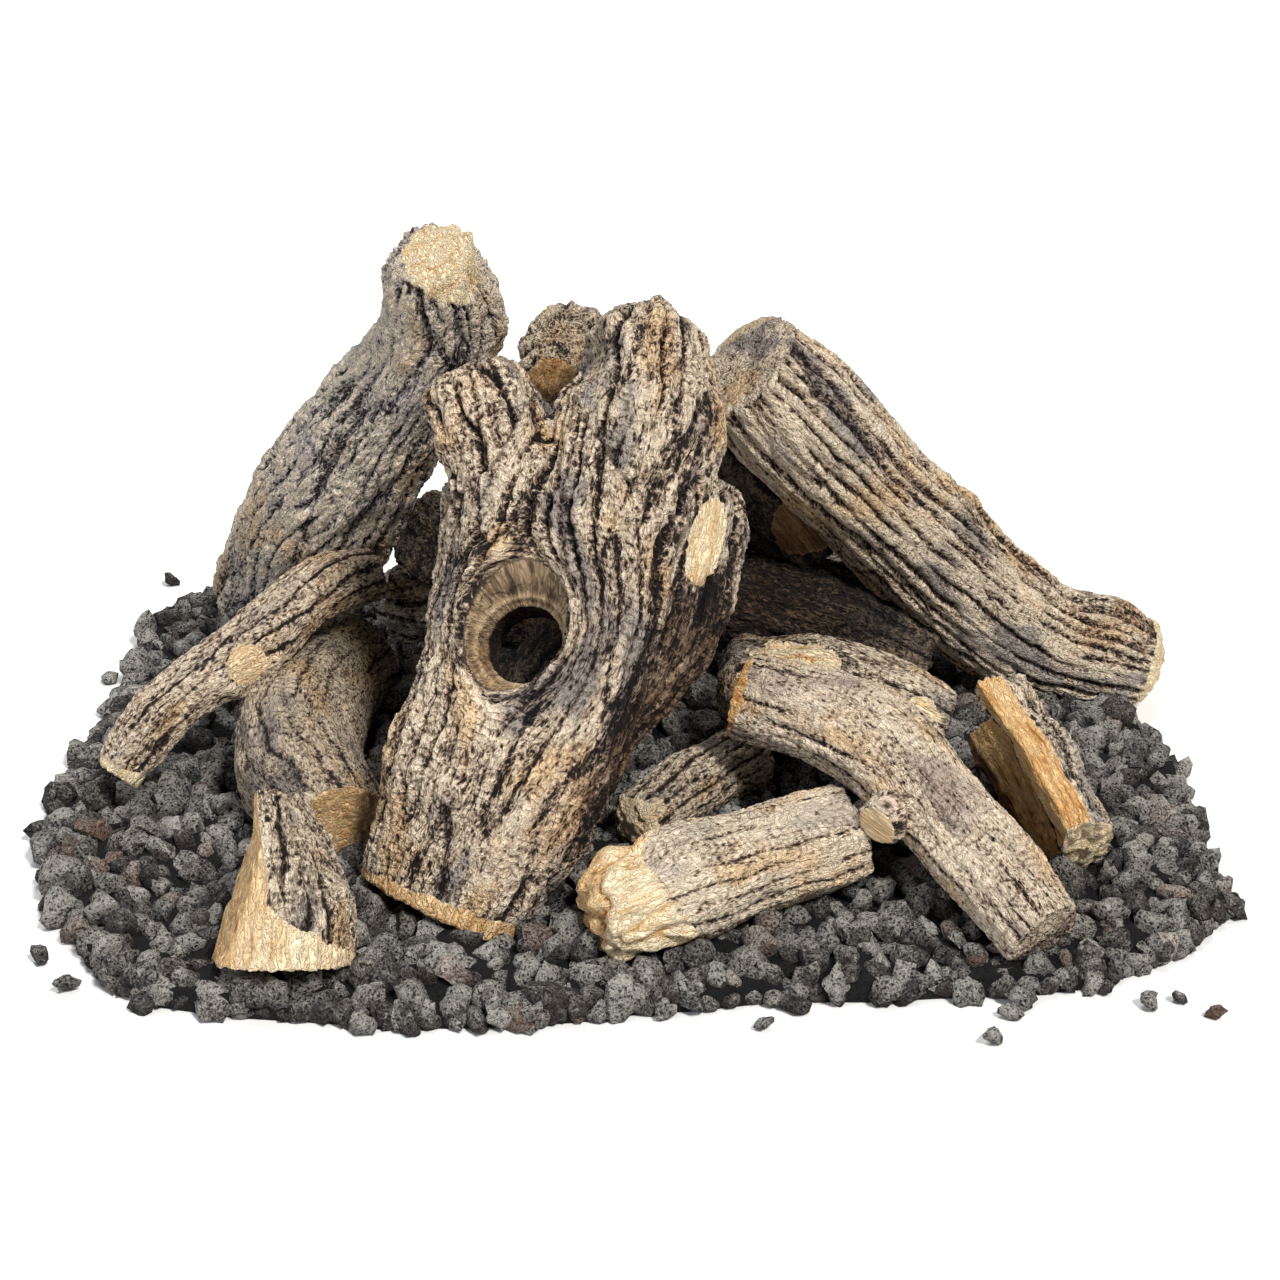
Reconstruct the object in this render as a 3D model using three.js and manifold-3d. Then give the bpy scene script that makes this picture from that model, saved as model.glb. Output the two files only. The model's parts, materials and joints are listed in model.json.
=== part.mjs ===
// A gas log set: cast refractory logs stacked on a bed of lava rock, over a pan burner with its gas train.
// Lengths are in millimetres and +Z is up. The origin is the centre of the burner pan's underside.
// The camera side of the pile is -Y, and +X is to the right seen from there.
import * as THREE from "three";
import { mergeVertices } from "three/addons/utils/BufferGeometryUtils.js";
import Module from "manifold-3d";

const wasm = await Module();
wasm.setup();

// The pile: logs are placed by shares of these three sizes.
const PILE_WIDTH = 800;
const PILE_DEPTH = 600;
const PILE_HEIGHT = 400;

// Cast logs: length along the log, and thickness across its widest place.
const FRONT_HOLLOW_LENGTH = 412;
const FRONT_HOLLOW_THICKNESS = 172;
const FORK_THICKNESS = 92;
const LIMB_THICKNESS = 82;
const LEFT_TALL_LENGTH = 420;
const LEFT_TALL_THICKNESS = 116;
const RIGHT_LONG_LENGTH = 450;
const RIGHT_LONG_THICKNESS = 98;
const CROOKED_BRANCH_LENGTH = 254;
const CROOKED_BRANCH_THICKNESS = 50;
const ELBOW_LENGTH = 239;
const ELBOW_THICKNESS = 94;
const FRONT_SHORT_LENGTH = 185;
const FRONT_SHORT_THICKNESS = 82;
const FRONT_STUB_LENGTH = 124;
const FRONT_STUB_THICKNESS = 50;
const FORKED_BRANCH_LENGTH = 274;
const FORKED_BRANCH_THICKNESS = 70;
const FORKED_STUB_THICKNESS = 38;
const RIGHT_BASE_LENGTH = 152;
const RIGHT_BASE_THICKNESS = 80;
const REAR_CROSS_LENGTH = 131;
const REAR_CROSS_THICKNESS = 92;
const BACK_SPLIT_LENGTH = 399;
const BACK_SPLIT_THICKNESS = 72;
const REAR_LEFT_STUB_LENGTH = 209;
const REAR_LEFT_STUB_THICKNESS = 72;
const REAR_LEFT_BASE_LENGTH = 128;
const REAR_LEFT_BASE_THICKNESS = 80;
const CENTRE_LENGTH = 283;
const CENTRE_THICKNESS = 84;
const TROUGH_LENGTH = 132;
const TROUGH_THICKNESS = 86;
const REAR_DIAGONAL_LENGTH = 230;
const REAR_DIAGONAL_THICKNESS = 84;
const REAR_RIGHT_LENGTH = 175;
const REAR_RIGHT_THICKNESS = 78;
const WEDGE_LENGTH = 112;
const WEDGE_THICKNESS = 104;

// Bark: how far the ridges wind round a log, how its girth comes and goes, how ragged a torn end is.
const RIDGE_TWIST = 2.2;
const GIRTH_WAVE_SHARE = 0.03;
const GIRTH_WAVES = 2.5;
const TORN_JITTER_SHARE = 0.16;

// The knot hole through the front log: a funnel in the bark, then a round tube behind a lip.
const KNOT_HOLE_RADIUS = 24;
const KNOT_LIP_RADIUS = 28;
const KNOT_FUNNEL_RADIUS = 35;
const KNOT_FUNNEL_DEPTH = 24;
const KNOT_LIP_DEPTH = 5;
// How far the tube lies below and beside the middle of the funnel.
const KNOT_DROP = 10;
const KNOT_ASIDE = 4;

// Seats: how a log is moulded to what it lies on, and relieved along the way that it lifts.
const SEAT_GAP = 0.5;
const SEAT_RELIEF = 4;
const RELIEF_STEPS = 4;
const BED_RELIEF_STEPS = 3;
const SLIVER = 0.01;
const SAME_POINT = 1e-4;

// The bed of lava rock.
const BED_REACH = 476;
const BED_HEIGHT = 42;
const BED_RIPPLE = 15;
const BED_SEED = 41;

// The pan and the ring burner.
const PAN_RADIUS = 190;
const PAN_HEIGHT = 26;
const SHEET = 1.6;
const PAN_HEM = 5;
const RING_RADIUS = 140;
const TUBE_RADIUS = 8;
const FEED_HEIGHT = 14;
const PORT_RADIUS = 1.8;
const PORT_COUNT = 12;
const HUB_RADIUS = 19;
const HUB_HEIGHT = 22;
const CRADLE_WIDTH = 14;
const CRADLE_COUNT = 4;
const TUBE_SLOT_CLEARANCE = 1;

// The gas train behind the bed: mixer, shutter, orifice, valve, key and inlet.
const FEED_REACH = 342;
const MIXER_LENGTH = 46;
const MIXER_RADIUS = 12;
const MIXER_BORE = 9.5;
const SHUTTER_LENGTH = 20;
const SHUTTER_WALL = 1.4;
const AIR_WINDOW_LENGTH = 11;
const AIR_WINDOW_WIDTH = 8;
const ORIFICE_LENGTH = 24;
const ORIFICE_RADIUS = 6;
const ORIFICE_BORE = 1.2;
const HEX_RADIUS = 11;
const HEX_LENGTH = 8;
const VALVE_LENGTH = 44;
const VALVE_WIDTH = 26;
const VALVE_HEIGHT = 27;
const STEM_RADIUS = 4;
const STEM_HEIGHT = 16;
const STEM_SINK = 10;
const KEY_LENGTH = 46;
const KEY_WIDTH = 11;
const KEY_HEIGHT = 6;
const INLET_LENGTH = 30;
const INLET_RADIUS = 10;
const INLET_BORE = 4.5;
const SCREW_HEAD_RADIUS = 3.5;
const SCREW_HEAD_HEIGHT = 2.4;
const SCREW_RADIUS = 1.6;
const FIT_GAP = 0.3;
const CUT_OVERRUN = 2;

// Counts of faces.
const ROUND_SIDES = 24;
const RING_SIDES = 36;
const TUBE_SIDES = 10;
const HEX_SIDES = 6;
const BED_SPOKES = 60;
const LOG_SIDES = 14;
const SLIM_SIDES = 12;

const TURN = 2 * Math.PI;
const rad = THREE.MathUtils.degToRad;
const random = THREE.MathUtils.seededRandom;
const UP = new THREE.Vector3(0, 0, 1);

// Solids and geometries

/** A geometry with only its places left, and one point where several met. */
function closed(geometry) {
  const bare = new THREE.BufferGeometry();
  bare.setAttribute("position", geometry.getAttribute("position"));
  bare.setIndex(geometry.getIndex());
  return mergeVertices(bare, SAME_POINT);
}

/** A closed geometry as a solid that can be joined and cut. */
function solidFrom(geometry) {
  const merged = closed(geometry);
  const vertProperties = new Float32Array(merged.getAttribute("position").array);
  const triVerts = new Uint32Array(merged.getIndex().array);
  return new wasm.Manifold(new wasm.Mesh({ numProp: 3, vertProperties, triVerts }));
}

/** A solid as an indexed geometry. */
function geometryFrom(solid) {
  const mesh = solid.getMesh();
  const points = new Float32Array(mesh.numVert * 3);
  for (let i = 0; i < mesh.numVert; i++) {
    const start = i * mesh.numProp;
    points.set(mesh.vertProperties.subarray(start, start + 3), i * 3);
  }
  const geometry = new THREE.BufferGeometry();
  geometry.setAttribute("position", new THREE.BufferAttribute(points, 3));
  geometry.setIndex(new THREE.BufferAttribute(new Uint32Array(mesh.triVerts), 1));
  return geometry;
}

/** The first geometry with the others joined on. */
function join(first, ...others) {
  const joined = others.reduce((sum, other) => sum.add(solidFrom(other)), solidFrom(first));
  return geometryFrom(joined);
}

/** The first geometry with the others cut away, and the thinnest slivers of the cut closed up. */
function cut(first, ...others) {
  const left = others.reduce((rest, other) => rest.subtract(solidFrom(other)), solidFrom(first));
  return geometryFrom(largest(left.simplify(SLIVER)));
}

/** The largest body of a solid: a cut can shave loose crumbs from a log's edge. */
function largest(solid) {
  return solid.decompose().reduce((best, body) => (body.volume() > best.volume() ? body : best));
}

/** A copy of a geometry, moved by a vector. */
function moved(geometry, offset) {
  return geometry.clone().translate(offset.x, offset.y, offset.z);
}

/** A copy of a geometry, with every point moved out along its normal. */
function swell(geometry, gap) {
  const swollen = closed(geometry);
  swollen.computeVertexNormals();
  const points = swollen.getAttribute("position");
  const normals = swollen.getAttribute("normal");
  const point = new THREE.Vector3();
  const normal = new THREE.Vector3();
  for (let i = 0; i < points.count; i++) {
    point.fromBufferAttribute(points, i);
    normal.fromBufferAttribute(normals, i);
    point.addScaledVector(normal, gap);
    points.setXYZ(i, point.x, point.y, point.z);
  }
  swollen.deleteAttribute("normal");
  return swollen;
}

/** The room that a piece takes in its neighbour: the piece itself, and its skin a gap further out. */
function roomFor(geometry, gap) {
  return [geometry, swell(geometry, gap)];
}

/** Whether the boxes of two geometries meet, grown by a margin. */
function near(first, second, margin) {
  first.computeBoundingBox();
  second.computeBoundingBox();
  return first.boundingBox.clone().expandByScalar(margin).intersectsBox(second.boundingBox);
}

/** A geometry turned so that its Y axis points along a direction, then moved to a place. */
function aimed(geometry, direction, place) {
  const turn = new THREE.Quaternion().setFromUnitVectors(
    new THREE.Vector3(0, 1, 0),
    direction.clone().normalize(),
  );
  return geometry.clone().applyQuaternion(turn).translate(place.x, place.y, place.z);
}

/** A round rod that starts at a place and runs along a direction. */
function rod(radius, length, place, direction, sides = ROUND_SIDES) {
  const middle = place.clone().addScaledVector(direction, length / 2);
  return aimed(new THREE.CylinderGeometry(radius, radius, length, sides), direction, middle);
}

/** A box with its centre at a place. */
function block(width, depth, height, place) {
  return new THREE.BoxGeometry(width, depth, height).translate(place.x, place.y, place.z);
}

/** A turned shape about the vertical: a closed list of [radius, height] points. */
function turned(profile, sides = ROUND_SIDES) {
  const points = profile.map(([radius, height]) => new THREE.Vector2(radius, height));
  return new THREE.LatheGeometry(points, sides).rotateX(Math.PI / 2);
}

// Logs

// The end of a log, as rings of [radius share, reach share]: a reach share is of the log's radius.
const endRingShares = {
  sawn: [],
  rounded: [
    [0.86, 0.16],
    [0.52, 0.3],
  ],
  torn: [
    [0.9, 0.14],
    [0.62, 0.34],
  ],
};

/** The frame of a log: its foot, and unit vectors along it, to its side and up from it. */
function logFrame(log) {
  const heading = rad(log.headingDegrees);
  const rise = rad(log.riseDegrees);
  const [x, y, z] = log.footShares;
  const foot = new THREE.Vector3(x * PILE_WIDTH, y * PILE_DEPTH, z * PILE_HEIGHT);
  const along = new THREE.Vector3(
    Math.cos(rise) * Math.cos(heading),
    Math.cos(rise) * Math.sin(heading),
    Math.sin(rise),
  );
  const side = new THREE.Vector3(-Math.sin(heading), Math.cos(heading), 0);
  const lift = new THREE.Vector3().crossVectors(along, side);
  return { foot, along, side, lift };
}

/** A place on a log, from shares of its length. */
function onLog(log, [alongShare, sideShare, liftShare]) {
  const { foot, along, side, lift } = logFrame(log);
  return foot
    .clone()
    .addScaledVector(along, alongShare * log.length)
    .addScaledVector(side, sideShare * log.length)
    .addScaledVector(lift, liftShare * log.length);
}

/** A direction in a log's own frame. */
function onLogDirection(log, [alongShare, sideShare, liftShare]) {
  const { along, side, lift } = logFrame(log);
  return new THREE.Vector3()
    .addScaledVector(along, alongShare)
    .addScaledVector(side, sideShare)
    .addScaledVector(lift, liftShare)
    .normalize();
}

// The bark's broad ridges: waves round the log, each with its count and its share of the radius.
const ridgeWaves = [
  { count: 2, share: 0.035 },
  { count: 3, share: 0.03 },
  { count: 5, share: 0.022 },
];

/**
 * The bark skin round a path. A path point is [along, side, lift, thickness] in shares of the log's
 * length and of the limb's thickness.
 */
function barkSkin(log, limb) {
  const path = limb.pathShares;
  const curve = new THREE.CatmullRomCurve3(path.map((point) => onLog(log, point)));
  const rings = limb.rings;
  const sides = limb.sides ?? LOG_SIDES;
  const flatShare = limb.flatShare ?? 1;
  const roll = rad(limb.rollDegrees ?? 0);
  const lift = logFrame(log).lift;
  random(limb.seed);
  const phases = ridgeWaves.map(() => [random() * TURN, (random() - 0.5) * RIDGE_TWIST]);
  const girthPhase = random() * TURN;
  const points = [];

  const thicknessAt = (share) => {
    const place = share * (path.length - 1);
    const index = Math.min(Math.floor(place), path.length - 2);
    return THREE.MathUtils.lerp(path[index][3], path[index + 1][3], place - index);
  };
  const addRing = (share, radiusShare, reachShare, jitterShare) => {
    const centre = curve.getPoint(share);
    const tangent = curve.getTangent(share);
    const side = new THREE.Vector3().crossVectors(lift, tangent).normalize();
    const over = new THREE.Vector3().crossVectors(tangent, side);
    side.applyAxisAngle(tangent, roll);
    over.applyAxisAngle(tangent, roll);
    const girth = 1 + GIRTH_WAVE_SHARE * Math.sin(GIRTH_WAVES * TURN * share + girthPhase);
    const radius = (limb.thickness / 2) * thicknessAt(share) * girth * radiusShare;
    const reach = (limb.thickness / 2) * thicknessAt(share) * reachShare;
    centre.addScaledVector(tangent, reach);
    for (let j = 0; j < sides; j++) {
      const angle = (j / sides) * TURN;
      let swelling = 1;
      ridgeWaves.forEach((wave, k) => {
        swelling += wave.share * Math.cos(wave.count * angle + phases[k][0] + phases[k][1] * share);
      });
      swelling += jitterShare * (random() - 0.5);
      points.push(
        centre
          .clone()
          .addScaledVector(side, Math.cos(angle) * radius * swelling)
          .addScaledVector(over, Math.sin(angle) * radius * swelling * flatShare),
      );
    }
    return centre;
  };

  const startRings = endRingShares[limb.startEnd ?? "sawn"];
  const tipRings = endRingShares[limb.tipEnd ?? "sawn"];
  let startCentre = null;
  for (const [radiusShare, reachShare] of [...startRings].reverse()) {
    const centre = addRing(0, radiusShare, -reachShare, TORN_JITTER_SHARE);
    startCentre = startCentre ?? centre;
  }
  for (let i = 0; i < rings; i++) {
    const centre = addRing(i / (rings - 1), 1, 0, 0);
    startCentre = startCentre ?? centre;
  }
  let tipCentre = curve.getPoint(1);
  for (const [radiusShare, reachShare] of tipRings) {
    tipCentre = addRing(1, radiusShare, reachShare, TORN_JITTER_SHARE);
  }
  const ringCount = points.length / sides;
  points.push(startCentre, tipCentre);

  const triangles = [];
  for (let i = 0; i < ringCount - 1; i++) {
    for (let j = 0; j < sides; j++) {
      const next = (j + 1) % sides;
      const a = i * sides + j;
      const b = i * sides + next;
      triangles.push(a, b, b + sides, a, b + sides, a + sides);
    }
  }
  const last = (ringCount - 1) * sides;
  for (let j = 0; j < sides; j++) {
    const next = (j + 1) % sides;
    triangles.push(ringCount * sides, next, j);
    triangles.push(ringCount * sides + 1, last + j, last + next);
  }
  const geometry = new THREE.BufferGeometry().setFromPoints(points);
  geometry.setIndex(triangles);
  return geometry;
}

/** A large block whose one face lies on a plane: it cuts a log along that plane. */
function splitBlock(log, { atShares, facingShares }) {
  const reach = 2 * log.length;
  const facing = onLogDirection(log, facingShares);
  const middle = onLog(log, atShares).addScaledVector(facing, reach / 2);
  return aimed(new THREE.BoxGeometry(reach, reach, reach), facing, middle);
}

/** A log as cast: its trunk with its limbs joined on and its splits and hollows cut. */
function castLog(log) {
  let geometry = barkSkin(log, log);
  const limbs = (log.limbs ?? []).map((limb) => barkSkin(log, limb));
  if (limbs.length) {
    geometry = join(geometry, ...limbs);
  }
  const cuts = (log.splits ?? []).map((split) => splitBlock(log, split));
  if (log.hollow) {
    cuts.push(barkSkin(log, log.hollow));
  }
  if (log.knotHole) {
    cuts.push(...knotHoleCutters(log));
  }
  return cuts.length ? cut(geometry, ...cuts) : geometry;
}

/** The funnel and the tube of the front log's knot hole. */
function knotHoleCutters(log) {
  const { atShares, facingShares, funnelHeightShare } = log.knotHole;
  const facing = onLogDirection(log, facingShares);
  const mouth = onLog(log, atShares);
  const through = log.thickness;
  const tube = turned([
    [0, -through],
    [KNOT_HOLE_RADIUS, -through],
    [KNOT_HOLE_RADIUS, -KNOT_FUNNEL_DEPTH - KNOT_LIP_DEPTH],
    [KNOT_LIP_RADIUS, -KNOT_FUNNEL_DEPTH],
    [KNOT_LIP_RADIUS, KNOT_FUNNEL_DEPTH],
    [0, KNOT_FUNNEL_DEPTH],
  ]);
  const funnel = turned([
    [0, -KNOT_FUNNEL_DEPTH],
    [KNOT_LIP_RADIUS, -KNOT_FUNNEL_DEPTH],
    [KNOT_FUNNEL_RADIUS, 0],
    [KNOT_FUNNEL_RADIUS + KNOT_FUNNEL_DEPTH, KNOT_FUNNEL_DEPTH],
    [0, KNOT_FUNNEL_DEPTH],
  ]);
  // The funnel's mouth is taller than wide, along the log, and it leans down to the tube.
  const along = onLogDirection(log, [1, 0, 0]);
  const across = new THREE.Vector3().crossVectors(along, facing).normalize();
  const upright = new THREE.Vector3().crossVectors(facing, across);
  const placing = new THREE.Matrix4().makeBasis(across, upright, facing).setPosition(mouth);
  const points = funnel.getAttribute("position");
  for (let i = 0; i < points.count; i++) {
    const open = THREE.MathUtils.clamp(1 + points.getZ(i) / KNOT_FUNNEL_DEPTH, 0, 1);
    points.setY(i, points.getY(i) * THREE.MathUtils.lerp(1, funnelHeightShare, open));
  }
  const lean = new THREE.Matrix4().makeShear(
    0, 0, 0, 0, -KNOT_ASIDE / KNOT_FUNNEL_DEPTH, KNOT_DROP / KNOT_FUNNEL_DEPTH,
  );
  tube.translate(KNOT_ASIDE, -KNOT_DROP, 0);
  return [tube.applyMatrix4(placing), funnel.applyMatrix4(lean).applyMatrix4(placing)];
}

// Each log in the order that it is stacked. A log with a liftShares direction comes off by hand.
const logs = [
  {
    name: "centre_log",
    footShares: [-0.106, -0.275, 0.195],
    headingDegrees: 77,
    riseDegrees: 2,
    length: CENTRE_LENGTH,
    thickness: CENTRE_THICKNESS,
    rings: 14,
    sides: SLIM_SIDES,
    seed: 11,
    pathShares: [
      [0, 0, 0, 0.94],
      [0.6, 0, 0, 1],
      [1, 0, 0, 0.92],
    ],
  },
  {
    name: "rear_left_base_log",
    footShares: [-0.237, 0.25, 0.18],
    headingDegrees: -20,
    riseDegrees: 0,
    length: REAR_LEFT_BASE_LENGTH,
    thickness: REAR_LEFT_BASE_THICKNESS,
    rings: 8,
    sides: SLIM_SIDES,
    seed: 12,
    pathShares: [
      [0, 0, 0, 0.96],
      [0.5, 0, 0.01, 1],
      [1, 0, 0, 0.94],
    ],
  },
  {
    name: "left_elbow_log",
    footShares: [-0.281, 0.1, 0.145],
    headingDegrees: -87,
    riseDegrees: -2,
    length: ELBOW_LENGTH,
    thickness: ELBOW_THICKNESS,
    rings: 14,
    seed: 13,
    pathShares: [
      [0, 0, 0, 0.84],
      [0.5, -0.13, 0.02, 1],
      [0.77, -0.12, 0.01, 1.02],
      [1.049, 0.016, -0.022, 0.82],
    ],
  },
  {
    name: "front_stub_log",
    footShares: [-0.003, -0.33, 0.132],
    headingDegrees: 47,
    riseDegrees: 5,
    length: FRONT_STUB_LENGTH,
    thickness: FRONT_STUB_THICKNESS,
    rings: 8,
    sides: SLIM_SIDES,
    seed: 14,
    startEnd: "rounded",
    pathShares: [
      [0, 0, 0, 0.9],
      [0.48, 0.02, 0.02, 1],
      [1, 0, 0, 0.94],
    ],
  },
  {
    name: "right_base_log",
    footShares: [0.086, -0.117, 0.25],
    headingDegrees: -8,
    riseDegrees: -13,
    length: RIGHT_BASE_LENGTH,
    thickness: RIGHT_BASE_THICKNESS,
    rings: 10,
    seed: 15,
    startEnd: "rounded",
    pathShares: [
      [0, 0, 0, 0.9],
      [0.51, 0.01, 0.07, 1.04],
      [1, 0, 0, 0.9],
    ],
  },
  {
    name: "rear_diagonal_log",
    footShares: [0, 0.117, 0.365],
    headingDegrees: -5,
    riseDegrees: -22,
    length: REAR_DIAGONAL_LENGTH,
    thickness: REAR_DIAGONAL_THICKNESS,
    rings: 12,
    sides: SLIM_SIDES,
    seed: 16,
    pathShares: [
      [0, 0, 0, 0.9],
      [0.34, -0.08, 0.01, 1],
      [0.63, -0.05, 0.05, 1],
      [1, 0, 0, 0.86],
    ],
  },
  {
    name: "rear_right_log",
    footShares: [0.075, 0.23, 0.198],
    headingDegrees: 1,
    riseDegrees: -1,
    length: REAR_RIGHT_LENGTH,
    thickness: REAR_RIGHT_THICKNESS,
    rings: 10,
    sides: SLIM_SIDES,
    seed: 17,
    pathShares: [
      [0, 0, 0, 0.94],
      [0.5, 0.03, 0.02, 1],
      [1, 0, 0, 0.92],
    ],
  },
  {
    name: "rear_left_stub_log",
    footShares: [-0.206, 0.133, 0.375],
    headingDegrees: 83,
    riseDegrees: -24,
    length: REAR_LEFT_STUB_LENGTH,
    thickness: REAR_LEFT_STUB_THICKNESS,
    rings: 11,
    sides: SLIM_SIDES,
    seed: 18,
    pathShares: [
      [0, 0, 0, 0.92],
      [0.52, -0.01, 0.02, 1],
      [1, 0, 0, 0.94],
    ],
    splits: [{ atShares: [0.05, 0, 0], facingShares: [-1, 0.4, 0.25] }],
  },
  {
    name: "rear_cross_log",
    footShares: [0.158, 0.125, 0.39],
    headingDegrees: -162,
    riseDegrees: 51,
    length: REAR_CROSS_LENGTH,
    thickness: REAR_CROSS_THICKNESS,
    rings: 9,
    sides: SLIM_SIDES,
    seed: 19,
    pathShares: [
      [0, 0, 0, 0.9],
      [0.5, 0, 0.02, 1],
      [1, 0, 0, 0.94],
    ],
    splits: [{ atShares: [0.04, 0, 0], facingShares: [-1, 0.3, 0.3] }],
  },
  {
    name: "back_split_log",
    footShares: [0.013, 0.4, 0.088],
    headingDegrees: -104,
    riseDegrees: 49,
    length: BACK_SPLIT_LENGTH,
    thickness: BACK_SPLIT_THICKNESS,
    rings: 17,
    sides: SLIM_SIDES,
    seed: 20,
    tipEnd: "torn",
    pathShares: [
      [0, 0, 0, 1],
      [0.54, -0.02, 0.05, 0.94],
      [1, 0, 0, 0.98],
    ],
  },
  {
    name: "right_long_log",
    footShares: [0.496, 0.175, 0.084],
    headingDegrees: -160,
    riseDegrees: 41,
    length: RIGHT_LONG_LENGTH,
    thickness: RIGHT_LONG_THICKNESS,
    rings: 20,
    seed: 21,
    startEnd: "torn",
    pathShares: [
      [0, 0, 0, 0.7],
      [0.21, -0.05, -0.085, 0.98],
      [0.58, -0.05, -0.062, 1],
      [0.88, -0.01, -0.026, 1],
      [1, 0, -0.012, 0.94],
    ],
    liftShares: [0.63, 0, 0.78],
  },
  {
    name: "left_tall_log",
    footShares: [-0.367, 0.258, 0.168],
    headingDegrees: -52,
    riseDegrees: 55,
    length: LEFT_TALL_LENGTH,
    thickness: LEFT_TALL_THICKNESS,
    rings: 20,
    seed: 22,
    tipEnd: "torn",
    pathShares: [
      [0, 0, 0, 0.94],
      [0.25, 0.01, -0.01, 1],
      [0.47, 0.02, -0.02, 0.96],
      [0.7, 0.052, -0.03, 0.8],
      [0.86, 0.058, -0.03, 0.8],
      [1, 0, 0, 0.56],
    ],
    liftShares: [-0.35, 0.35, 0.87],
  },
  {
    name: "left_crooked_branch",
    footShares: [-0.471, -0.192, 0.119],
    headingDegrees: 44,
    riseDegrees: 20,
    length: CROOKED_BRANCH_LENGTH,
    thickness: CROOKED_BRANCH_THICKNESS,
    rings: 15,
    sides: SLIM_SIDES,
    seed: 23,
    pathShares: [
      [0, 0, 0, 0.72],
      [0.21, -0.02, 0.1, 0.9],
      [0.52, -0.03, 0.08, 1.04],
      [0.79, 0, 0.08, 1],
      [1, 0, 0, 0.84],
    ],
    liftShares: [-0.39, -0.68, 0.62],
  },
  {
    name: "front_hollow_log",
    footShares: [-0.163, -0.425, 0.09],
    headingDegrees: 51,
    riseDegrees: 56,
    length: FRONT_HOLLOW_LENGTH,
    thickness: FRONT_HOLLOW_THICKNESS,
    flatShare: 0.54,
    rollDegrees: 18,
    rings: 14,
    sides: 18,
    seed: 24,
    pathShares: [
      [-0.045, 0, 0, 0.68],
      [0.18, -0.02, 0.01, 0.88],
      [0.43, -0.02, 0.01, 0.97],
      [0.66, 0.02, 0.02, 1.06],
    ],
    limbs: [
      {
        thickness: FORK_THICKNESS,
        rings: 8,
        seed: 25,
        tipEnd: "torn",
        pathShares: [
          [0.5, 0.03, 0.02, 0.9],
          [0.68, 0.13, 0.08, 0.88],
          [0.79, 0.22, 0.13, 0.78],
        ],
      },
      {
        thickness: FORK_THICKNESS,
        flatShare: 0.92,
        rings: 10,
        seed: 26,
        tipEnd: "torn",
        pathShares: [
          [0.5, -0.03, 0, 1.06],
          [0.8, -0.03, -0.01, 1.34],
          [0.97, 0.016, 0, 0.92],
        ],
      },
      {
        thickness: LIMB_THICKNESS,
        rings: 10,
        seed: 27,
        tipEnd: "rounded",
        pathShares: [
          [0.28, -0.09, -0.06, 0.7],
          [0.5, -0.145, -0.08, 1],
          [0.68, -0.135, -0.1, 0.94],
          [0.75, -0.115, -0.1, 0.8],
        ],
      },
    ],
    knotHole: { atShares: [0.433, 0.014, 0.1], facingShares: [0, -0.3, 0.95], funnelHeightShare: 1.34 },
    liftShares: [0.2, 0.05, 0.97],
  },
  {
    name: "front_short_log",
    footShares: [-0.028, -0.51, 0.112],
    headingDegrees: 26,
    riseDegrees: 5,
    length: FRONT_SHORT_LENGTH,
    thickness: FRONT_SHORT_THICKNESS,
    rings: 10,
    seed: 28,
    startEnd: "torn",
    pathShares: [
      [0, 0, 0, 0.78],
      [0.3, 0, 0.02, 0.96],
      [1, 0, 0, 0.78],
    ],
    liftShares: [-0.73, -0.53, 0.42],
  },
  {
    name: "right_forked_branch",
    footShares: [0.092, -0.242, 0.315],
    headingDegrees: -42,
    riseDegrees: -19,
    length: FORKED_BRANCH_LENGTH,
    thickness: FORKED_BRANCH_THICKNESS,
    rings: 15,
    seed: 29,
    pathShares: [
      [0, 0, 0, 0.92],
      [0.31, 0.09, 0.07, 1.06],
      [0.66, 0.06, 0.04, 0.96],
      [1, 0, 0, 0.86],
    ],
    limbs: [
      {
        thickness: FORKED_STUB_THICKNESS,
        rings: 4,
        sides: SLIM_SIDES,
        seed: 30,
        pathShares: [
          [0.52, 0.04, 0.05, 1],
          [0.53, -0.11, 0.03, 0.8],
        ],
      },
    ],
    liftShares: [0.25, -0.35, 0.9],
  },
  {
    name: "right_trough_log",
    footShares: [0.364, -0.37, 0.1],
    headingDegrees: 116,
    riseDegrees: 27,
    length: TROUGH_LENGTH,
    thickness: TROUGH_THICKNESS,
    rings: 11,
    seed: 31,
    pathShares: [
      [0, 0, 0, 0.96],
      [0.5, 0, 0.01, 1.04],
      [1, 0, 0, 0.94],
    ],
    splits: [{ atShares: [0.5, 0.03, 0], facingShares: [0, 0.95, -0.2] }],
    hollow: {
      thickness: TROUGH_THICKNESS,
      rings: 6,
      sides: SLIM_SIDES,
      seed: 32,
      pathShares: [
        [-0.1, 0.14, 0, 0.3],
        [0.3, 0.12, 0, 0.58],
        [0.6, 0.11, 0, 0.68],
        [1.1, 0.1, 0, 0.68],
      ],
    },
    liftShares: [0.3, -0.3, 0.9],
  },
  {
    name: "front_left_wedge",
    footShares: [-0.295, -0.545, 0.049],
    headingDegrees: 88,
    riseDegrees: 62,
    length: WEDGE_LENGTH,
    thickness: WEDGE_THICKNESS,
    rings: 7,
    sides: SLIM_SIDES,
    seed: 33,
    pathShares: [
      [0, 0, 0, 1],
      [0.5, 0, 0.02, 0.92],
      [1, 0, 0, 0.7],
    ],
    splits: [
      { atShares: [0.5, 0.24, 0], facingShares: [0.3, 0.9, 0.3] },
      { atShares: [0.5, 0, -0.22], facingShares: [0, 0.1, -1] },
    ],
    liftShares: [-0.35, -0.55, 0.76],
  },
];

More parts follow.
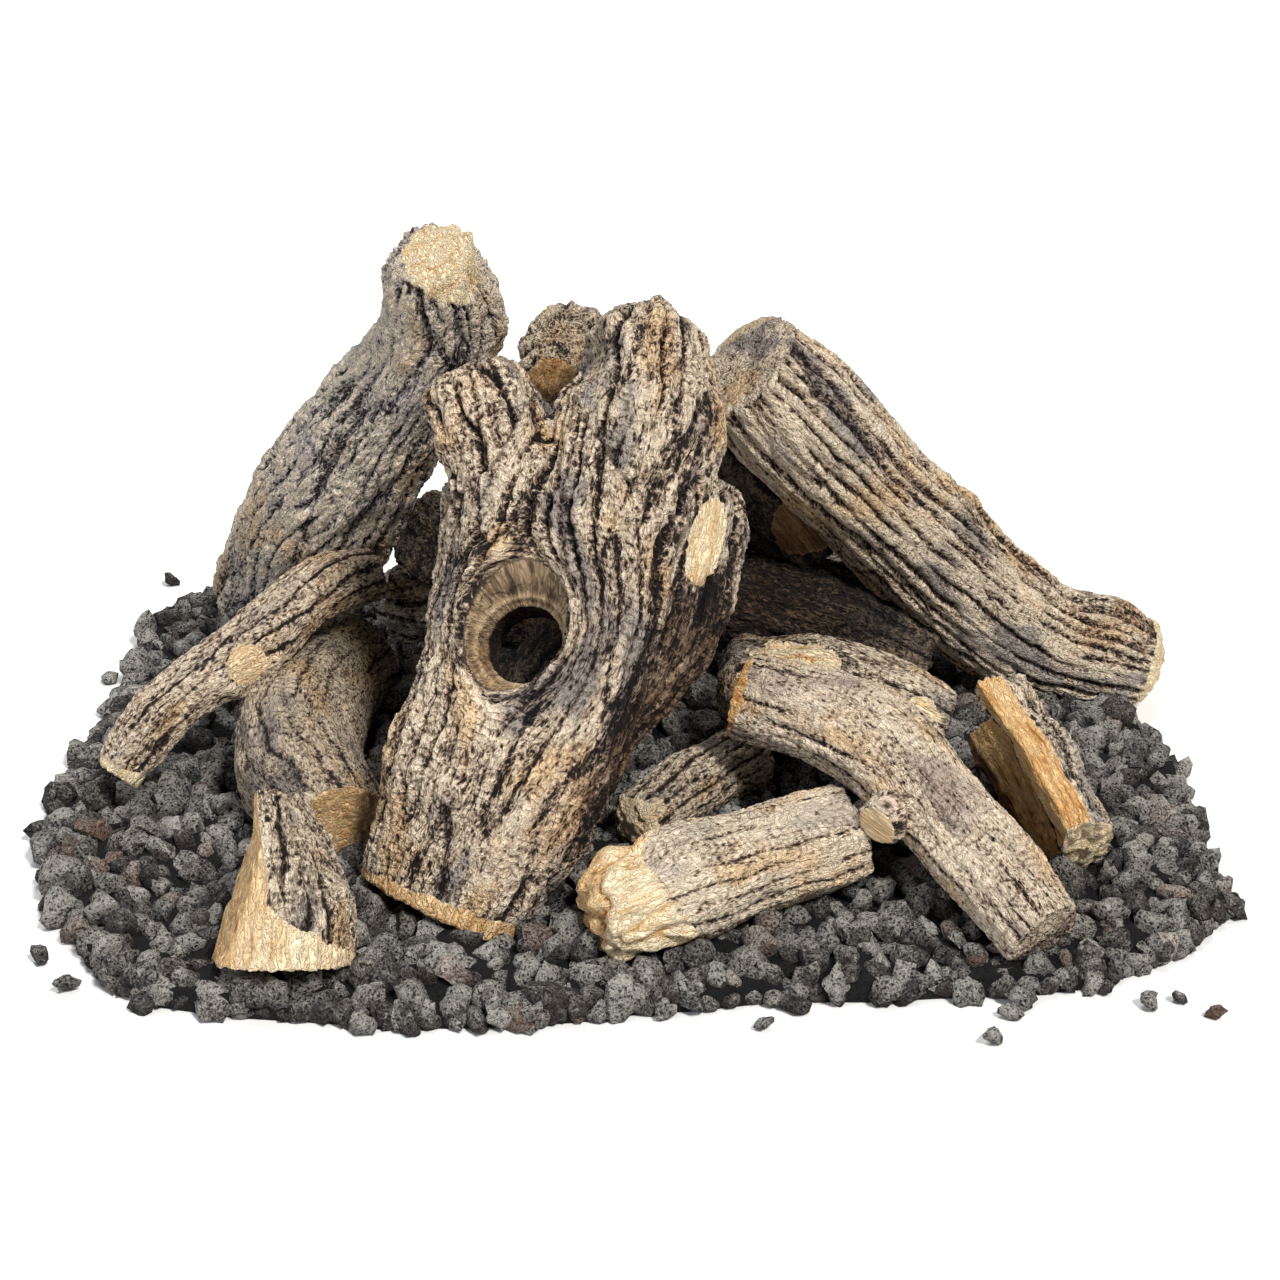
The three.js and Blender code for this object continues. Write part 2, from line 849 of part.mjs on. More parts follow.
/** The unit direction in which a log comes off, or straight up for one that stays. */
function liftOf(log) {
  return log.liftShares ? new THREE.Vector3(...log.liftShares).normalize() : UP.clone();
}

/** The room that a neighbour needs beside a log, also while either of the two is lifted off. */
function reliefCutters(neighbour, lift, neighbourLift) {
  const swollen = swell(neighbour, SEAT_GAP);
  const cutters = [neighbour, swollen];
  for (let i = 1; i <= RELIEF_STEPS; i++) {
    const way = (SEAT_RELIEF * i) / RELIEF_STEPS;
    cutters.push(moved(swollen, lift.clone().multiplyScalar(-way)));
    if (neighbourLift) {
      cutters.push(moved(swollen, neighbourLift.clone().multiplyScalar(way)));
    }
  }
  return cutters;
}

/** Whether a geometry and one of the others share any room. */
function meetsAny(geometry, others) {
  return others.some(
    (other) => near(geometry, other, 0) && solidFrom(geometry).intersect(solidFrom(other)).volume() > 0,
  );
}

/** A log where it is placed, or lowered to what lies below it where it would hang in the air. */
function rested(geometry, below) {
  let resting = geometry;
  const step = new THREE.Vector3(0, 0, -SEAT_RELIEF);
  while (!meetsAny(resting, below)) {
    resting = moved(resting, step);
  }
  return resting;
}

/**
 * Stacks the logs on the heap and the burner. Each is moulded round those before it and the burner,
 * and none goes through the hearth.
 */
function stackLogs(heap, buried) {
  const stacked = [];
  const hearthTop = new THREE.Vector3(0, 0, SEAT_GAP - PILE_HEIGHT / 2);
  const hearth = block(2 * PILE_WIDTH, 2 * PILE_DEPTH, PILE_HEIGHT, hearthTop);
  for (const log of logs) {
    const lift = liftOf(log);
    const geometry = rested(castLog(log), [hearth, heap, ...stacked.map((other) => other.geometry)]);
    const around = stacked.filter((other) => near(geometry, other.geometry, SEAT_RELIEF));
    const cutters = around.flatMap((other) =>
      reliefCutters(other.geometry, lift, other.log.liftShares ? liftOf(other.log) : null),
    );
    for (const piece of buried) {
      if (near(geometry, piece, SEAT_GAP)) {
        cutters.push(...roomFor(piece, SEAT_GAP));
      }
    }
    if (near(geometry, hearth, 0)) {
      cutters.push(hearth);
    }
    stacked.push({ log, geometry: cutters.length ? cut(geometry, ...cutters) : geometry });
  }
  return stacked;
}

// Lava bed

// The outline every 15 degrees from +X, in shares of the bed's reach.
const bedOutlineShares = [
  0.83, 0.79, 0.77, 0.74, 0.7, 0.66, 0.65, 0.68, 0.78, 0.97, 0.99, 0.88,
  0.88, 0.93, 0.97, 1.01, 0.89, 0.81, 0.75, 0.74, 0.82, 0.95, 0.98, 0.87,
];
// The heap's height on the way out: [share of the outline, share of the height].
const bedHeightShares = [
  [0.12, 1],
  [0.23, 1],
  [0.34, 0.98],
  [0.45, 0.9],
  [0.56, 0.72],
  [0.67, 0.55],
  [0.78, 0.46],
  [0.89, 0.42],
  [1, 0.26],
];

/** The heap of lava rock, as one lumpy mound with a flat underside. */
function lavaHeap() {
  random(BED_SEED);
  const points = [];
  const outline = (spoke) => {
    const place = (spoke / BED_SPOKES) * bedOutlineShares.length;
    const index = Math.floor(place) % bedOutlineShares.length;
    const next = (index + 1) % bedOutlineShares.length;
    const share = place - Math.floor(place);
    return BED_REACH * THREE.MathUtils.lerp(bedOutlineShares[index], bedOutlineShares[next], share);
  };
  for (const [reachShare, heightShare] of bedHeightShares) {
    for (let j = 0; j < BED_SPOKES; j++) {
      const angle = (j / BED_SPOKES) * TURN;
      const reach = outline(j) * reachShare;
      const height = BED_HEIGHT * heightShare + BED_RIPPLE * (random() - 0.5);
      points.push(new THREE.Vector3(Math.cos(angle) * reach, Math.sin(angle) * reach, height));
    }
  }
  for (let j = 0; j < BED_SPOKES; j++) {
    const angle = (j / BED_SPOKES) * TURN;
    points.push(new THREE.Vector3(Math.cos(angle) * outline(j), Math.sin(angle) * outline(j), 0));
  }
  const rings = bedHeightShares.length + 1;
  points.push(new THREE.Vector3(0, 0, BED_HEIGHT), new THREE.Vector3(0, 0, 0));
  const triangles = [];
  for (let j = 0; j < BED_SPOKES; j++) {
    const next = (j + 1) % BED_SPOKES;
    triangles.push(rings * BED_SPOKES, j, next);
    for (let i = 0; i < rings - 1; i++) {
      const a = i * BED_SPOKES + j;
      const b = i * BED_SPOKES + next;
      triangles.push(a, a + BED_SPOKES, b + BED_SPOKES, a, b + BED_SPOKES, b);
    }
    const last = (rings - 1) * BED_SPOKES;
    triangles.push(rings * BED_SPOKES + 1, last + next, last + j);
  }
  const geometry = new THREE.BufferGeometry().setFromPoints(points);
  geometry.setIndex(triangles);
  return geometry;
}

// Burner

const feedAxis = new THREE.Vector3(0, 1, 0);

/** A place on the centre line of the gas feed. */
function onFeed(reach) {
  return new THREE.Vector3(0, reach, FEED_HEIGHT);
}

/** The open pan that holds the ring, with a hemmed rim and a slot for the feed tube. */
function burnerPan() {
  const shell = turned(
    [
      [0, 0],
      [PAN_RADIUS, 0],
      [PAN_RADIUS, PAN_HEIGHT - SHEET],
      [PAN_RADIUS + PAN_HEM, PAN_HEIGHT - SHEET],
      [PAN_RADIUS + PAN_HEM, PAN_HEIGHT],
      [PAN_RADIUS - SHEET, PAN_HEIGHT],
      [PAN_RADIUS - SHEET, SHEET],
      [0, SHEET],
    ],
    RING_SIDES,
  );
  const slotRadius = TUBE_RADIUS + TUBE_SLOT_CLEARANCE;
  const slotReach = PAN_HEM + SHEET + 2 * CUT_OVERRUN;
  const slotHeight = PAN_HEIGHT - FEED_HEIGHT + CUT_OVERRUN;
  const slotPlace = onFeed(PAN_RADIUS);
  const slot = block(
    2 * slotRadius,
    2 * slotReach,
    slotHeight + slotRadius,
    slotPlace.clone().add(new THREE.Vector3(0, 0, (slotHeight - slotRadius) / 2)),
  );
  return cut(shell, slot);
}

/** The ring burner, with its ports in the top unless it is left plain. */
function burnerRing(ported = true) {
  const ring = new THREE.TorusGeometry(RING_RADIUS, TUBE_RADIUS, TUBE_SIDES, RING_SIDES);
  ring.translate(0, 0, FEED_HEIGHT);
  if (!ported) {
    return closed(ring);
  }
  const ports = [];
  for (let i = 0; i < PORT_COUNT; i++) {
    const angle = ((i + 1 / 2) / PORT_COUNT) * TURN;
    const place = new THREE.Vector3(
      RING_RADIUS * Math.cos(angle),
      RING_RADIUS * Math.sin(angle),
      FEED_HEIGHT,
    );
    ports.push(rod(PORT_RADIUS, TUBE_RADIUS + CUT_OVERRUN, place, UP, HEX_SIDES));
  }
  return cut(ring, ...ports);
}

/** The hub where the feed tube meets the spokes. */
function burnerHub() {
  const place = new THREE.Vector3(0, 0, FEED_HEIGHT - HUB_HEIGHT / 2);
  return rod(HUB_RADIUS, HUB_HEIGHT, place, UP);
}

/** A straight tube from the hub out to the ring, coped to both. */
function spoke(direction, hub, ring) {
  const tube = rod(TUBE_RADIUS, RING_RADIUS, onFeed(0), direction, TUBE_SIDES);
  return cut(tube, swell(hub, FIT_GAP), swell(ring, FIT_GAP));
}

/** The tube that brings the gas from the mixer to the hub, through the pan's slot and the ring. */
function feedTube(hub) {
  const tube = rod(TUBE_RADIUS, FEED_REACH, onFeed(0), feedAxis, TUBE_SIDES);
  return cut(tube, swell(hub, FIT_GAP));
}

/** A low block on the pan's floor that the ring lies in. */
function ringCradle(angle, ring) {
  const place = new THREE.Vector3(
    RING_RADIUS * Math.cos(angle),
    RING_RADIUS * Math.sin(angle),
    (SHEET + FIT_GAP + FEED_HEIGHT - TUBE_RADIUS / 2) / 2,
  );
  const height = FEED_HEIGHT - TUBE_RADIUS / 2 - SHEET - FIT_GAP;
  const cradle = new THREE.BoxGeometry(2 * TUBE_RADIUS + CRADLE_WIDTH / 2, CRADLE_WIDTH, height);
  cradle.rotateZ(angle);
  cradle.translate(place.x, place.y, place.z);
  return cut(cradle, swell(ring, FIT_GAP));
}

/** The mixer, a thick tube with two air windows, closed on the feed tube. */
function mixerTube() {
  const start = FEED_REACH - MIXER_LENGTH / 4;
  const body = rod(MIXER_RADIUS, MIXER_LENGTH, onFeed(start), feedAxis);
  const bore = rod(MIXER_BORE, MIXER_LENGTH, onFeed(start + SHEET), feedAxis);
  const seat = rod(TUBE_RADIUS + FIT_GAP, MIXER_LENGTH, onFeed(start - CUT_OVERRUN), feedAxis);
  const windowPlace = onFeed(start + MIXER_LENGTH - SHUTTER_LENGTH / 2 - HEX_LENGTH / 2);
  const windows = block(
    2 * MIXER_RADIUS + CUT_OVERRUN,
    AIR_WINDOW_LENGTH,
    AIR_WINDOW_WIDTH,
    windowPlace,
  );
  return cut(body, bore, seat, windows);
}

const shutterStart = FEED_REACH - MIXER_LENGTH / 4 + MIXER_LENGTH - SHUTTER_LENGTH - HEX_LENGTH / 2;

/** The sleeve that turns on the mixer to open and close its air windows. */
function airShutter() {
  const inner = MIXER_RADIUS + FIT_GAP;
  const outer = inner + SHUTTER_WALL;
  const middle = onFeed(shutterStart + SHUTTER_LENGTH / 2);
  const sleeve = rod(outer, SHUTTER_LENGTH, onFeed(shutterStart), feedAxis);
  const bore = rod(
    inner,
    SHUTTER_LENGTH + 2 * CUT_OVERRUN,
    onFeed(shutterStart - CUT_OVERRUN),
    feedAxis,
  );
  const windows = block(2 * (outer + CUT_OVERRUN), AIR_WINDOW_LENGTH, AIR_WINDOW_WIDTH, middle);
  const screwHole = rod(SCREW_RADIUS + FIT_GAP, outer + CUT_OVERRUN, middle, UP, TUBE_SIDES);
  return cut(sleeve, bore, windows, screwHole);
}

/** The round-headed screw in the top of the sleeve that locks it. */
function shutterScrew() {
  const foot = onFeed(shutterStart + SHUTTER_LENGTH / 2);
  foot.z += MIXER_RADIUS + FIT_GAP;
  const shank = rod(SCREW_RADIUS, SHUTTER_WALL + SCREW_HEAD_HEIGHT, foot, UP, TUBE_SIDES);
  const seat = foot.clone();
  seat.z += SHUTTER_WALL + FIT_GAP;
  return join(shank, rod(SCREW_HEAD_RADIUS, SCREW_HEAD_HEIGHT, seat, UP, TUBE_SIDES));
}

const trainStart = FEED_REACH - MIXER_LENGTH / 4 + MIXER_LENGTH;

/** The orifice fitting, which plugs the mixer's end and meters the gas. */
function orificeFitting() {
  const spigot = rod(MIXER_BORE - FIT_GAP, HEX_LENGTH, onFeed(trainStart - HEX_LENGTH / 2), feedAxis);
  const hex = rod(HEX_RADIUS, HEX_LENGTH, onFeed(trainStart + FIT_GAP), feedAxis, HEX_SIDES);
  const tail = rod(ORIFICE_RADIUS, ORIFICE_LENGTH, onFeed(trainStart), feedAxis);
  const bore = rod(
    ORIFICE_BORE,
    ORIFICE_LENGTH + 2 * HEX_LENGTH,
    onFeed(trainStart - HEX_LENGTH),
    feedAxis,
    HEX_SIDES,
  );
  return cut(join(hex, spigot, tail), bore);
}

const valveStart = trainStart + HEX_LENGTH + 2 * FIT_GAP;

/** The quarter-turn valve's body, bored for the orifice's tail, the stem and the inlet. */
function valveBody() {
  const centre = onFeed(valveStart + VALVE_LENGTH / 2);
  centre.z = VALVE_HEIGHT / 2;
  const body = block(VALVE_WIDTH, VALVE_LENGTH, VALVE_HEIGHT, centre);
  const tailBore = rod(
    ORIFICE_RADIUS + FIT_GAP,
    ORIFICE_LENGTH,
    onFeed(valveStart - CUT_OVERRUN),
    feedAxis,
  );
  const inletBore = rod(
    INLET_RADIUS / 2 + FIT_GAP,
    HEX_LENGTH + CUT_OVERRUN,
    onFeed(valveStart + VALVE_LENGTH - HEX_LENGTH),
    feedAxis,
  );
  const stemPlace = centre.clone();
  stemPlace.z = VALVE_HEIGHT - STEM_SINK;
  const stemBore = rod(STEM_RADIUS + FIT_GAP, STEM_SINK + CUT_OVERRUN, stemPlace, UP);
  return cut(body, tailBore, inletBore, stemBore);
}

/** The key: a stem with a flat bar across its top. */
function valveKey() {
  const place = onFeed(valveStart + VALVE_LENGTH / 2);
  place.z = VALVE_HEIGHT - STEM_SINK + FIT_GAP;
  const stem = rod(STEM_RADIUS, STEM_SINK + STEM_HEIGHT, place, UP);
  const top = place.clone();
  top.z += STEM_SINK + STEM_HEIGHT - KEY_HEIGHT / 2;
  const bar = block(KEY_WIDTH, KEY_LENGTH, KEY_HEIGHT, top);
  const hub = top.clone();
  hub.z -= KEY_HEIGHT / 2;
  return join(stem, bar, rod(KEY_WIDTH / 2 + SHEET, KEY_HEIGHT + SHEET, hub, UP));
}

/** The inlet fitting, with its spigot in the valve and its flare seat to the rear. */
function inletFitting() {
  const start = valveStart + VALVE_LENGTH;
  const spigot = rod(INLET_RADIUS / 2, 2 * HEX_LENGTH, onFeed(start - HEX_LENGTH + FIT_GAP), feedAxis);
  const hex = rod(HEX_RADIUS + SHEET, HEX_LENGTH, onFeed(start + FIT_GAP), feedAxis, HEX_SIDES);
  const nipple = rod(INLET_RADIUS, INLET_LENGTH, onFeed(start + FIT_GAP), feedAxis);
  const bore = rod(
    INLET_BORE,
    INLET_LENGTH + 2 * HEX_LENGTH,
    onFeed(start - HEX_LENGTH),
    feedAxis,
    TUBE_SIDES,
  );
  return cut(join(hex, nipple, spigot), bore);
}

// Assembly

const bark = { color: 0x9c8b78, roughness: 0.92, metalness: 0 };
const lava = { color: 0x4c4a47, roughness: 0.96, metalness: 0 };
const steel = { color: 0x8d9093, roughness: 0.42, metalness: 1 };
const brass = { color: 0xb5934f, roughness: 0.36, metalness: 1 };
const black = { color: 0x26262a, roughness: 0.5, metalness: 0.2 };

const set = new THREE.Group();

/** Adds a piece to the set as a named mesh. */
function add(name, geometry, finish) {
  const mesh = new THREE.Mesh(geometry, new THREE.MeshStandardMaterial(finish));
  mesh.name = name;
  set.add(mesh);
  return geometry;
}

const ring = burnerRing();
const hub = burnerHub();
const feed = feedTube(hub);
const pan = burnerPan();
add("burner_pan", pan, steel);
add("burner_ring", cut(ring, swell(feed, FIT_GAP)), steel);
add("burner_hub", hub, steel);
add("feed_tube", feed, steel);
// What the lava has to leave room for: the plain outer shape of each piece of the burner.
const buried = [pan, burnerRing(false), hub, rod(TUBE_RADIUS, FEED_REACH, onFeed(0), feedAxis)];
const spokeDirections = { left: new THREE.Vector3(-1, 0, 0), right: new THREE.Vector3(1, 0, 0) };
for (const [name, direction] of Object.entries(spokeDirections)) {
  add("burner_spoke_" + name, spoke(direction, hub, ring), steel);
  buried.push(rod(TUBE_RADIUS, RING_RADIUS, onFeed(0), direction, TUBE_SIDES));
}
for (let i = 0; i < CRADLE_COUNT; i++) {
  const angle = ((i + 1 / 2) / CRADLE_COUNT) * TURN;
  buried.push(add("ring_cradle_" + (i + 1), ringCradle(angle, ring), steel));
}
buried.push(add("mixer_tube", mixerTube(), brass));
buried.push(add("air_shutter", airShutter(), steel));
add("shutter_screw", shutterScrew(), brass);
add("orifice_fitting", orificeFitting(), brass);
add("valve_body", valveBody(), brass);
add("valve_key", valveKey(), black);
add("inlet_fitting", inletFitting(), brass);

const heap = lavaHeap();
const stacked = stackLogs(heap, buried);
const bedCutters = buried
  .filter((piece) => near(heap, piece, SEAT_GAP))
  .flatMap((piece) => roomFor(piece, SEAT_GAP));
for (const { log, geometry } of stacked) {
  if (near(heap, geometry, SEAT_GAP)) {
    const room = roomFor(geometry, SEAT_GAP);
    bedCutters.push(...room);
    for (let i = 1; log.liftShares && i <= BED_RELIEF_STEPS; i++) {
      bedCutters.push(moved(room[1], liftOf(log).multiplyScalar(i * SEAT_RELIEF)));
    }
  }
}
add("lava_bed", cut(heap, ...bedCutters), lava);
for (const { log, geometry } of stacked) {
  add(log.name, geometry, bark);
}

export default set;
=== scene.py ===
"""The looks of a gas log set: cast bark logs on a bed of lava rock, over a pan burner."""

from __future__ import annotations

import itertools
import json
import logging
import math
from dataclasses import dataclass, field
from enum import Enum
from typing import Any

import bpy
import numpy as np
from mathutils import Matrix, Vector
from mathutils.bvhtree import BVHTree

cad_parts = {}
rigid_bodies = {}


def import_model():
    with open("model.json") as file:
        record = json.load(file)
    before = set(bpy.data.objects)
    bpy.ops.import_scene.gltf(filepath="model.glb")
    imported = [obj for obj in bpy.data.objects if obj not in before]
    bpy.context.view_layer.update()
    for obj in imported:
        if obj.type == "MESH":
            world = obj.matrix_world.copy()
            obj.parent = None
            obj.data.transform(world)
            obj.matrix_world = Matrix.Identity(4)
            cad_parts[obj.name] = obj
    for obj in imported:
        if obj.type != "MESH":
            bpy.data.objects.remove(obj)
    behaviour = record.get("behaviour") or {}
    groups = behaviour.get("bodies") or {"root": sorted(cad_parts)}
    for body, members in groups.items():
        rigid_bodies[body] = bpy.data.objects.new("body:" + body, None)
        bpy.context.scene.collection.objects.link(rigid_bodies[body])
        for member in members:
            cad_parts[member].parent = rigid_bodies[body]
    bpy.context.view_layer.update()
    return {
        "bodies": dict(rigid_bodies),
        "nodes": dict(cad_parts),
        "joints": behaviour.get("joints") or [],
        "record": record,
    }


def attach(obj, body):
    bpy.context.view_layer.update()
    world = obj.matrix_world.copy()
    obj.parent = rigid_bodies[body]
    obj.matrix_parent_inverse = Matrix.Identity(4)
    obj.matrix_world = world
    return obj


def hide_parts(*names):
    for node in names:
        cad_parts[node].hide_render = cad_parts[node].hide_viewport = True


log = logging.getLogger("gas_log_set")

MM = 0.001
Place = tuple[float, float, float]
Colour = tuple[float, float, float]


class Wood(Enum):
    """What shows on a log where its bark is gone."""

    SAWN = "sawn"
    TORN = "torn"
    DEEP = "deep"
    KNOT = "knot"
    # Dark charring on the bark; also used for painted shadow where a face lies in shade.
    CHAR_AND_SHADE = "char"
    AMBER = "amber"
    SPLIT = "split"
    WORN = "worn"


class Reach(Enum):
    """How far a bare place goes: a spot on the bark, a flat face, or all beyond a ragged line."""

    SPOT = "spot"
    FACE = "face"
    BEYOND = "beyond"


# Noise

TABLE_SIZE = 4096
CELL_PRIMES = (73856093, 19349663, 83492791)
MIX_PRIME = 1274126177
SEED_PRIME = 7919
NOISE_GAIN = 1.7
FLAKE_JITTER = 0.45


def gradient_table(seed: int) -> np.ndarray:
    """Random unit vectors for gradient noise, as many as the table's size."""
    vectors = np.random.default_rng(seed).normal(size=(TABLE_SIZE, 3))
    return vectors / np.linalg.norm(vectors, axis=1, keepdims=True)


GRADIENTS = gradient_table(11)


def scrambled(cell: np.ndarray, seed: int) -> np.ndarray:
    """A random whole number below the table's size for each cell of space."""
    first, second, third = (cell[:, axis] * prime for axis, prime in enumerate(CELL_PRIMES))
    mixed = first ^ second ^ third
    mixed = (mixed ^ (mixed >> 13)) * MIX_PRIME + seed * SEED_PRIME
    return (mixed ^ (mixed >> 16)) & (TABLE_SIZE - 1)


def swirl(points: np.ndarray, seed: int = 0) -> np.ndarray:
    """Smooth noise in space.

    Args:
        points: places, already divided by the size of a lump.
        seed: which noise of many.

    Returns:
        One value a place, from about -1 to 1.
    """
    cell = np.floor(points).astype(np.int64)
    local = points - cell
    fade = local**3 * (local * (local * 6 - 15) + 10)
    total = np.zeros(len(points))
    for corner in itertools.product((0, 1), repeat=3):
        slopes = GRADIENTS[scrambled(cell + corner, seed)]
        weight = np.prod(np.where(corner, fade, 1 - fade), axis=1)
        total += weight * ((local - corner) * slopes).sum(axis=1)
    return total * NOISE_GAIN


def flakes(points: np.ndarray, seed: int) -> tuple[np.ndarray, np.ndarray]:
    """Cells in space, like flakes of bark.

    Args:
        points: places, already divided by the size of a flake.
        seed: which cells of many.

    Returns:
        How far each place is from a crack between flakes, and a share that is one flake's own.
    """
    cell = np.floor(points).astype(np.int64)
    nearest = np.full(len(points), np.inf)
    second = nearest.copy()
    own = np.zeros(len(points))
    for step in itertools.product((-1, 0, 1), repeat=3):
        pick = scrambled(cell + step, seed)
        middle = cell + step + 0.5 + FLAKE_JITTER * GRADIENTS[pick]
        apart = np.linalg.norm(middle - points, axis=1)
        second = np.minimum(second, np.maximum(apart, nearest))
        own = np.where(apart < nearest, pick / (TABLE_SIZE - 1), own)
        nearest = np.minimum(nearest, apart)
    return second - nearest, own


def smooth(values: np.ndarray, low: float, high: float) -> np.ndarray:
    """A soft step.

    Args:
        values: what steps.
        low: where the step starts.
        high: where it ends.

    Returns:
        0 below low, 1 above high, eased between.
    """
    share = np.clip((values - low) / (high - low), 0, 1)
    return share * share * (3 - 2 * share)


def valley(values: np.ndarray, sharpness: float) -> np.ndarray:
    """Lines where a noise passes zero: 1 in the middle of a line, 0 off it."""
    return np.clip(1 - np.abs(values) * sharpness, 0, 1)


def unit(vector: Any) -> np.ndarray:
    """A vector at length 1."""
    array = np.asarray(vector, float)
    return array / np.linalg.norm(array)


# Shader maths


class Signal:
    """A shader socket on which sums and products can be written."""

    def __init__(self, desk: "ShaderDesk", socket: bpy.types.NodeSocket) -> None:
        """Keeps the socket and the desk that makes its nodes."""
        self.desk = desk
        self.socket = socket

    def maths(self, operation: str, *others: Any, clamp: bool = False) -> "Signal":
        """Adds a Math node.

        Args:
            operation: the node's operation.
            others: the values or signals of its other sockets.
            clamp: whether the result is held between 0 and 1.

        Returns:
            The result.
        """
        settings = {"operation": operation, "use_clamp": clamp}
        return self.desk.node("ShaderNodeMath", settings, [self, *others])

    def __add__(self, other: Any) -> "Signal":
        """The sum."""
        return self.maths("ADD", other)

    __radd__ = __add__

    def __sub__(self, other: Any) -> "Signal":
        """The difference."""
        return self.maths("SUBTRACT", other)

    def __rsub__(self, other: Any) -> "Signal":
        """The difference, the other way round."""
        return self.desk.node("ShaderNodeMath", {"operation": "SUBTRACT"}, [other, self])

    def __mul__(self, other: Any) -> "Signal":
        """The product."""
        return self.maths("MULTIPLY", other)

    __rmul__ = __mul__

    def clamped(self) -> "Signal":
        """The signal held between 0 and 1."""
        return self.maths("ADD", 0.0, clamp=True)

    def step(self, low: float, high: float) -> "Signal":
        """A soft step from 0 at low to 1 at high."""
        settings = {"interpolation_type": "SMOOTHSTEP"}
        values = {"Value": self, "From Min": low, "From Max": high}
        return self.desk.node("ShaderNodeMapRange", settings, values)


@dataclass(frozen=True)
class Speckle:
    """A noise drawn out along the grain: its fineness along and across, its detail and roughness."""

    along: float
    across: float
    detail: float = 4.0
    roughness: float = 0.55


class ShaderDesk:
    """Makes the nodes of one material."""

    def __init__(self, name: str) -> None:
        """Starts a material with its Principled shader."""
        self.material = bpy.data.materials.new(name)
        self.material.use_nodes = True
        self.tree = self.material.node_tree
        self.shader = self.tree.nodes["Principled BSDF"]

    def node(
        self, kind: str, settings: dict[str, Any], values: Any, output: int | str = 0
    ) -> Signal:
        """Adds a node.

        Args:
            kind: the node's type.
            settings: its settings, set first. A ramp's stops are its key "stops".
            values: the values or signals of its sockets, by place or by name.
            output: which of its sockets to return.

        Returns:
            The chosen output.
        """
        made = self.tree.nodes.new(kind)
        for key, value in settings.items():
            if key == "stops":
                self.set_stops(made.color_ramp, value)
            else:
                setattr(made, key, value)
        pairs = values.items() if isinstance(values, dict) else enumerate(values)
        for key, value in pairs:
            self.feed(made.inputs[key], value)
        return Signal(self, made.outputs[output])

    def set_stops(self, ramp: bpy.types.ColorRamp, stops: list[tuple[float, Colour]]) -> None:
        """Gives a ramp its stops, each a place and a colour."""
        while len(ramp.elements) < len(stops):
            ramp.elements.new(0.5)
        for element, (place, colour) in zip(ramp.elements, stops):
            element.position = place
            element.color = (*colour, 1)

    def feed(self, socket: bpy.types.NodeSocket, value: Any) -> None:
        """Links a signal to a socket, or sets its value."""
        if isinstance(value, Signal):
            self.tree.links.new(value.socket, socket)
        elif isinstance(value, tuple) and socket.type == "RGBA":
            socket.default_value = (*value, 1)
        else:
            socket.default_value = value

    def attribute(self, name: str, vector: bool = False) -> Signal:
        """A named attribute of the mesh, as a number or as a vector."""
        settings = {"attribute_type": "GEOMETRY", "attribute_name": name}
        return self.node("ShaderNodeAttribute", settings, [], "Vector" if vector else "Fac")

    def place(self) -> Signal:
        """The Object coordinates."""
        return self.node("ShaderNodeTexCoord", {}, [], "Object")

    def stretched(self, vector: Signal, factors: Place) -> Signal:
        """A vector times a vector."""
        return self.node("ShaderNodeVectorMath", {"operation": "MULTIPLY"}, [vector, factors])

    def noise(
        self, vector: Signal, scale: float, detail: float = 4.0, roughness: float = 0.55
    ) -> Signal:
        """A noise texture's value."""
        values = {"Vector": vector, "Scale": scale, "Detail": detail, "Roughness": roughness}
        return self.node("ShaderNodeTexNoise", {}, values, "Fac")

    def grained(self, vector: Signal, speckle: Speckle) -> Signal:
        """A noise drawn out along the grain."""
        fineness = (speckle.along, speckle.across, speckle.across)
        return self.noise(self.stretched(vector, fineness), 1.0, speckle.detail, speckle.roughness)

    def warped(self, vector: Signal, factors: Place, amount: float) -> Signal:
        """A vector bent by noise.

        Args:
            vector: what is bent.
            factors: how fine the bends are, each way.
            amount: how far they reach.

        Returns:
            The bent vector.
        """
        values = {"Vector": self.stretched(vector, factors), "Scale": 1.0, "Detail": 2.0}
        bend = self.node("ShaderNodeTexNoise", {}, values, "Color")
        settings = {"operation": "MULTIPLY_ADD"}
        return self.node("ShaderNodeVectorMath", settings, [bend, (amount,) * 3, vector])

    def pores(self, vector: Signal, scale: float) -> Signal:
        """How far a place is from the middle of its cell."""
        values = {"Vector": vector, "Scale": scale}
        return self.node("ShaderNodeTexVoronoi", {"feature": "F1"}, values, "Distance")

    def ramp(self, factor: Signal, stops: list[tuple[float, Colour]]) -> Signal:
        """A colour from a list of stops."""
        return self.node("ShaderNodeValToRGB", {"stops": stops}, [factor])

    def mixed(self, factor: Any, first: Any, second: Any, blend: str = "MIX") -> Signal:
        """Two colours mixed by a factor."""
        made = self.tree.nodes.new("ShaderNodeMix")
        made.data_type = "RGBA"
        made.blend_type = blend
        self.feed(made.inputs[0], factor)
        self.feed(made.inputs[6], first)
        self.feed(made.inputs[7], second)
        return Signal(self, made.outputs[2])

    def bumped(self, height: Signal, depth: float, strength: float = 1.0) -> Signal:
        """A normal from a height."""
        values = {"Height": height, "Distance": depth, "Strength": strength}
        return self.node("ShaderNodeBump", {}, values, "Normal")

    def finish(self, **sockets: Any) -> bpy.types.Material:
        """Feeds the shader's sockets, named with _ for a space, and gives the material."""
        for name, value in sockets.items():
            self.feed(self.shader.inputs[name.replace("_", " ")], value)
        return self.material


# Finishes

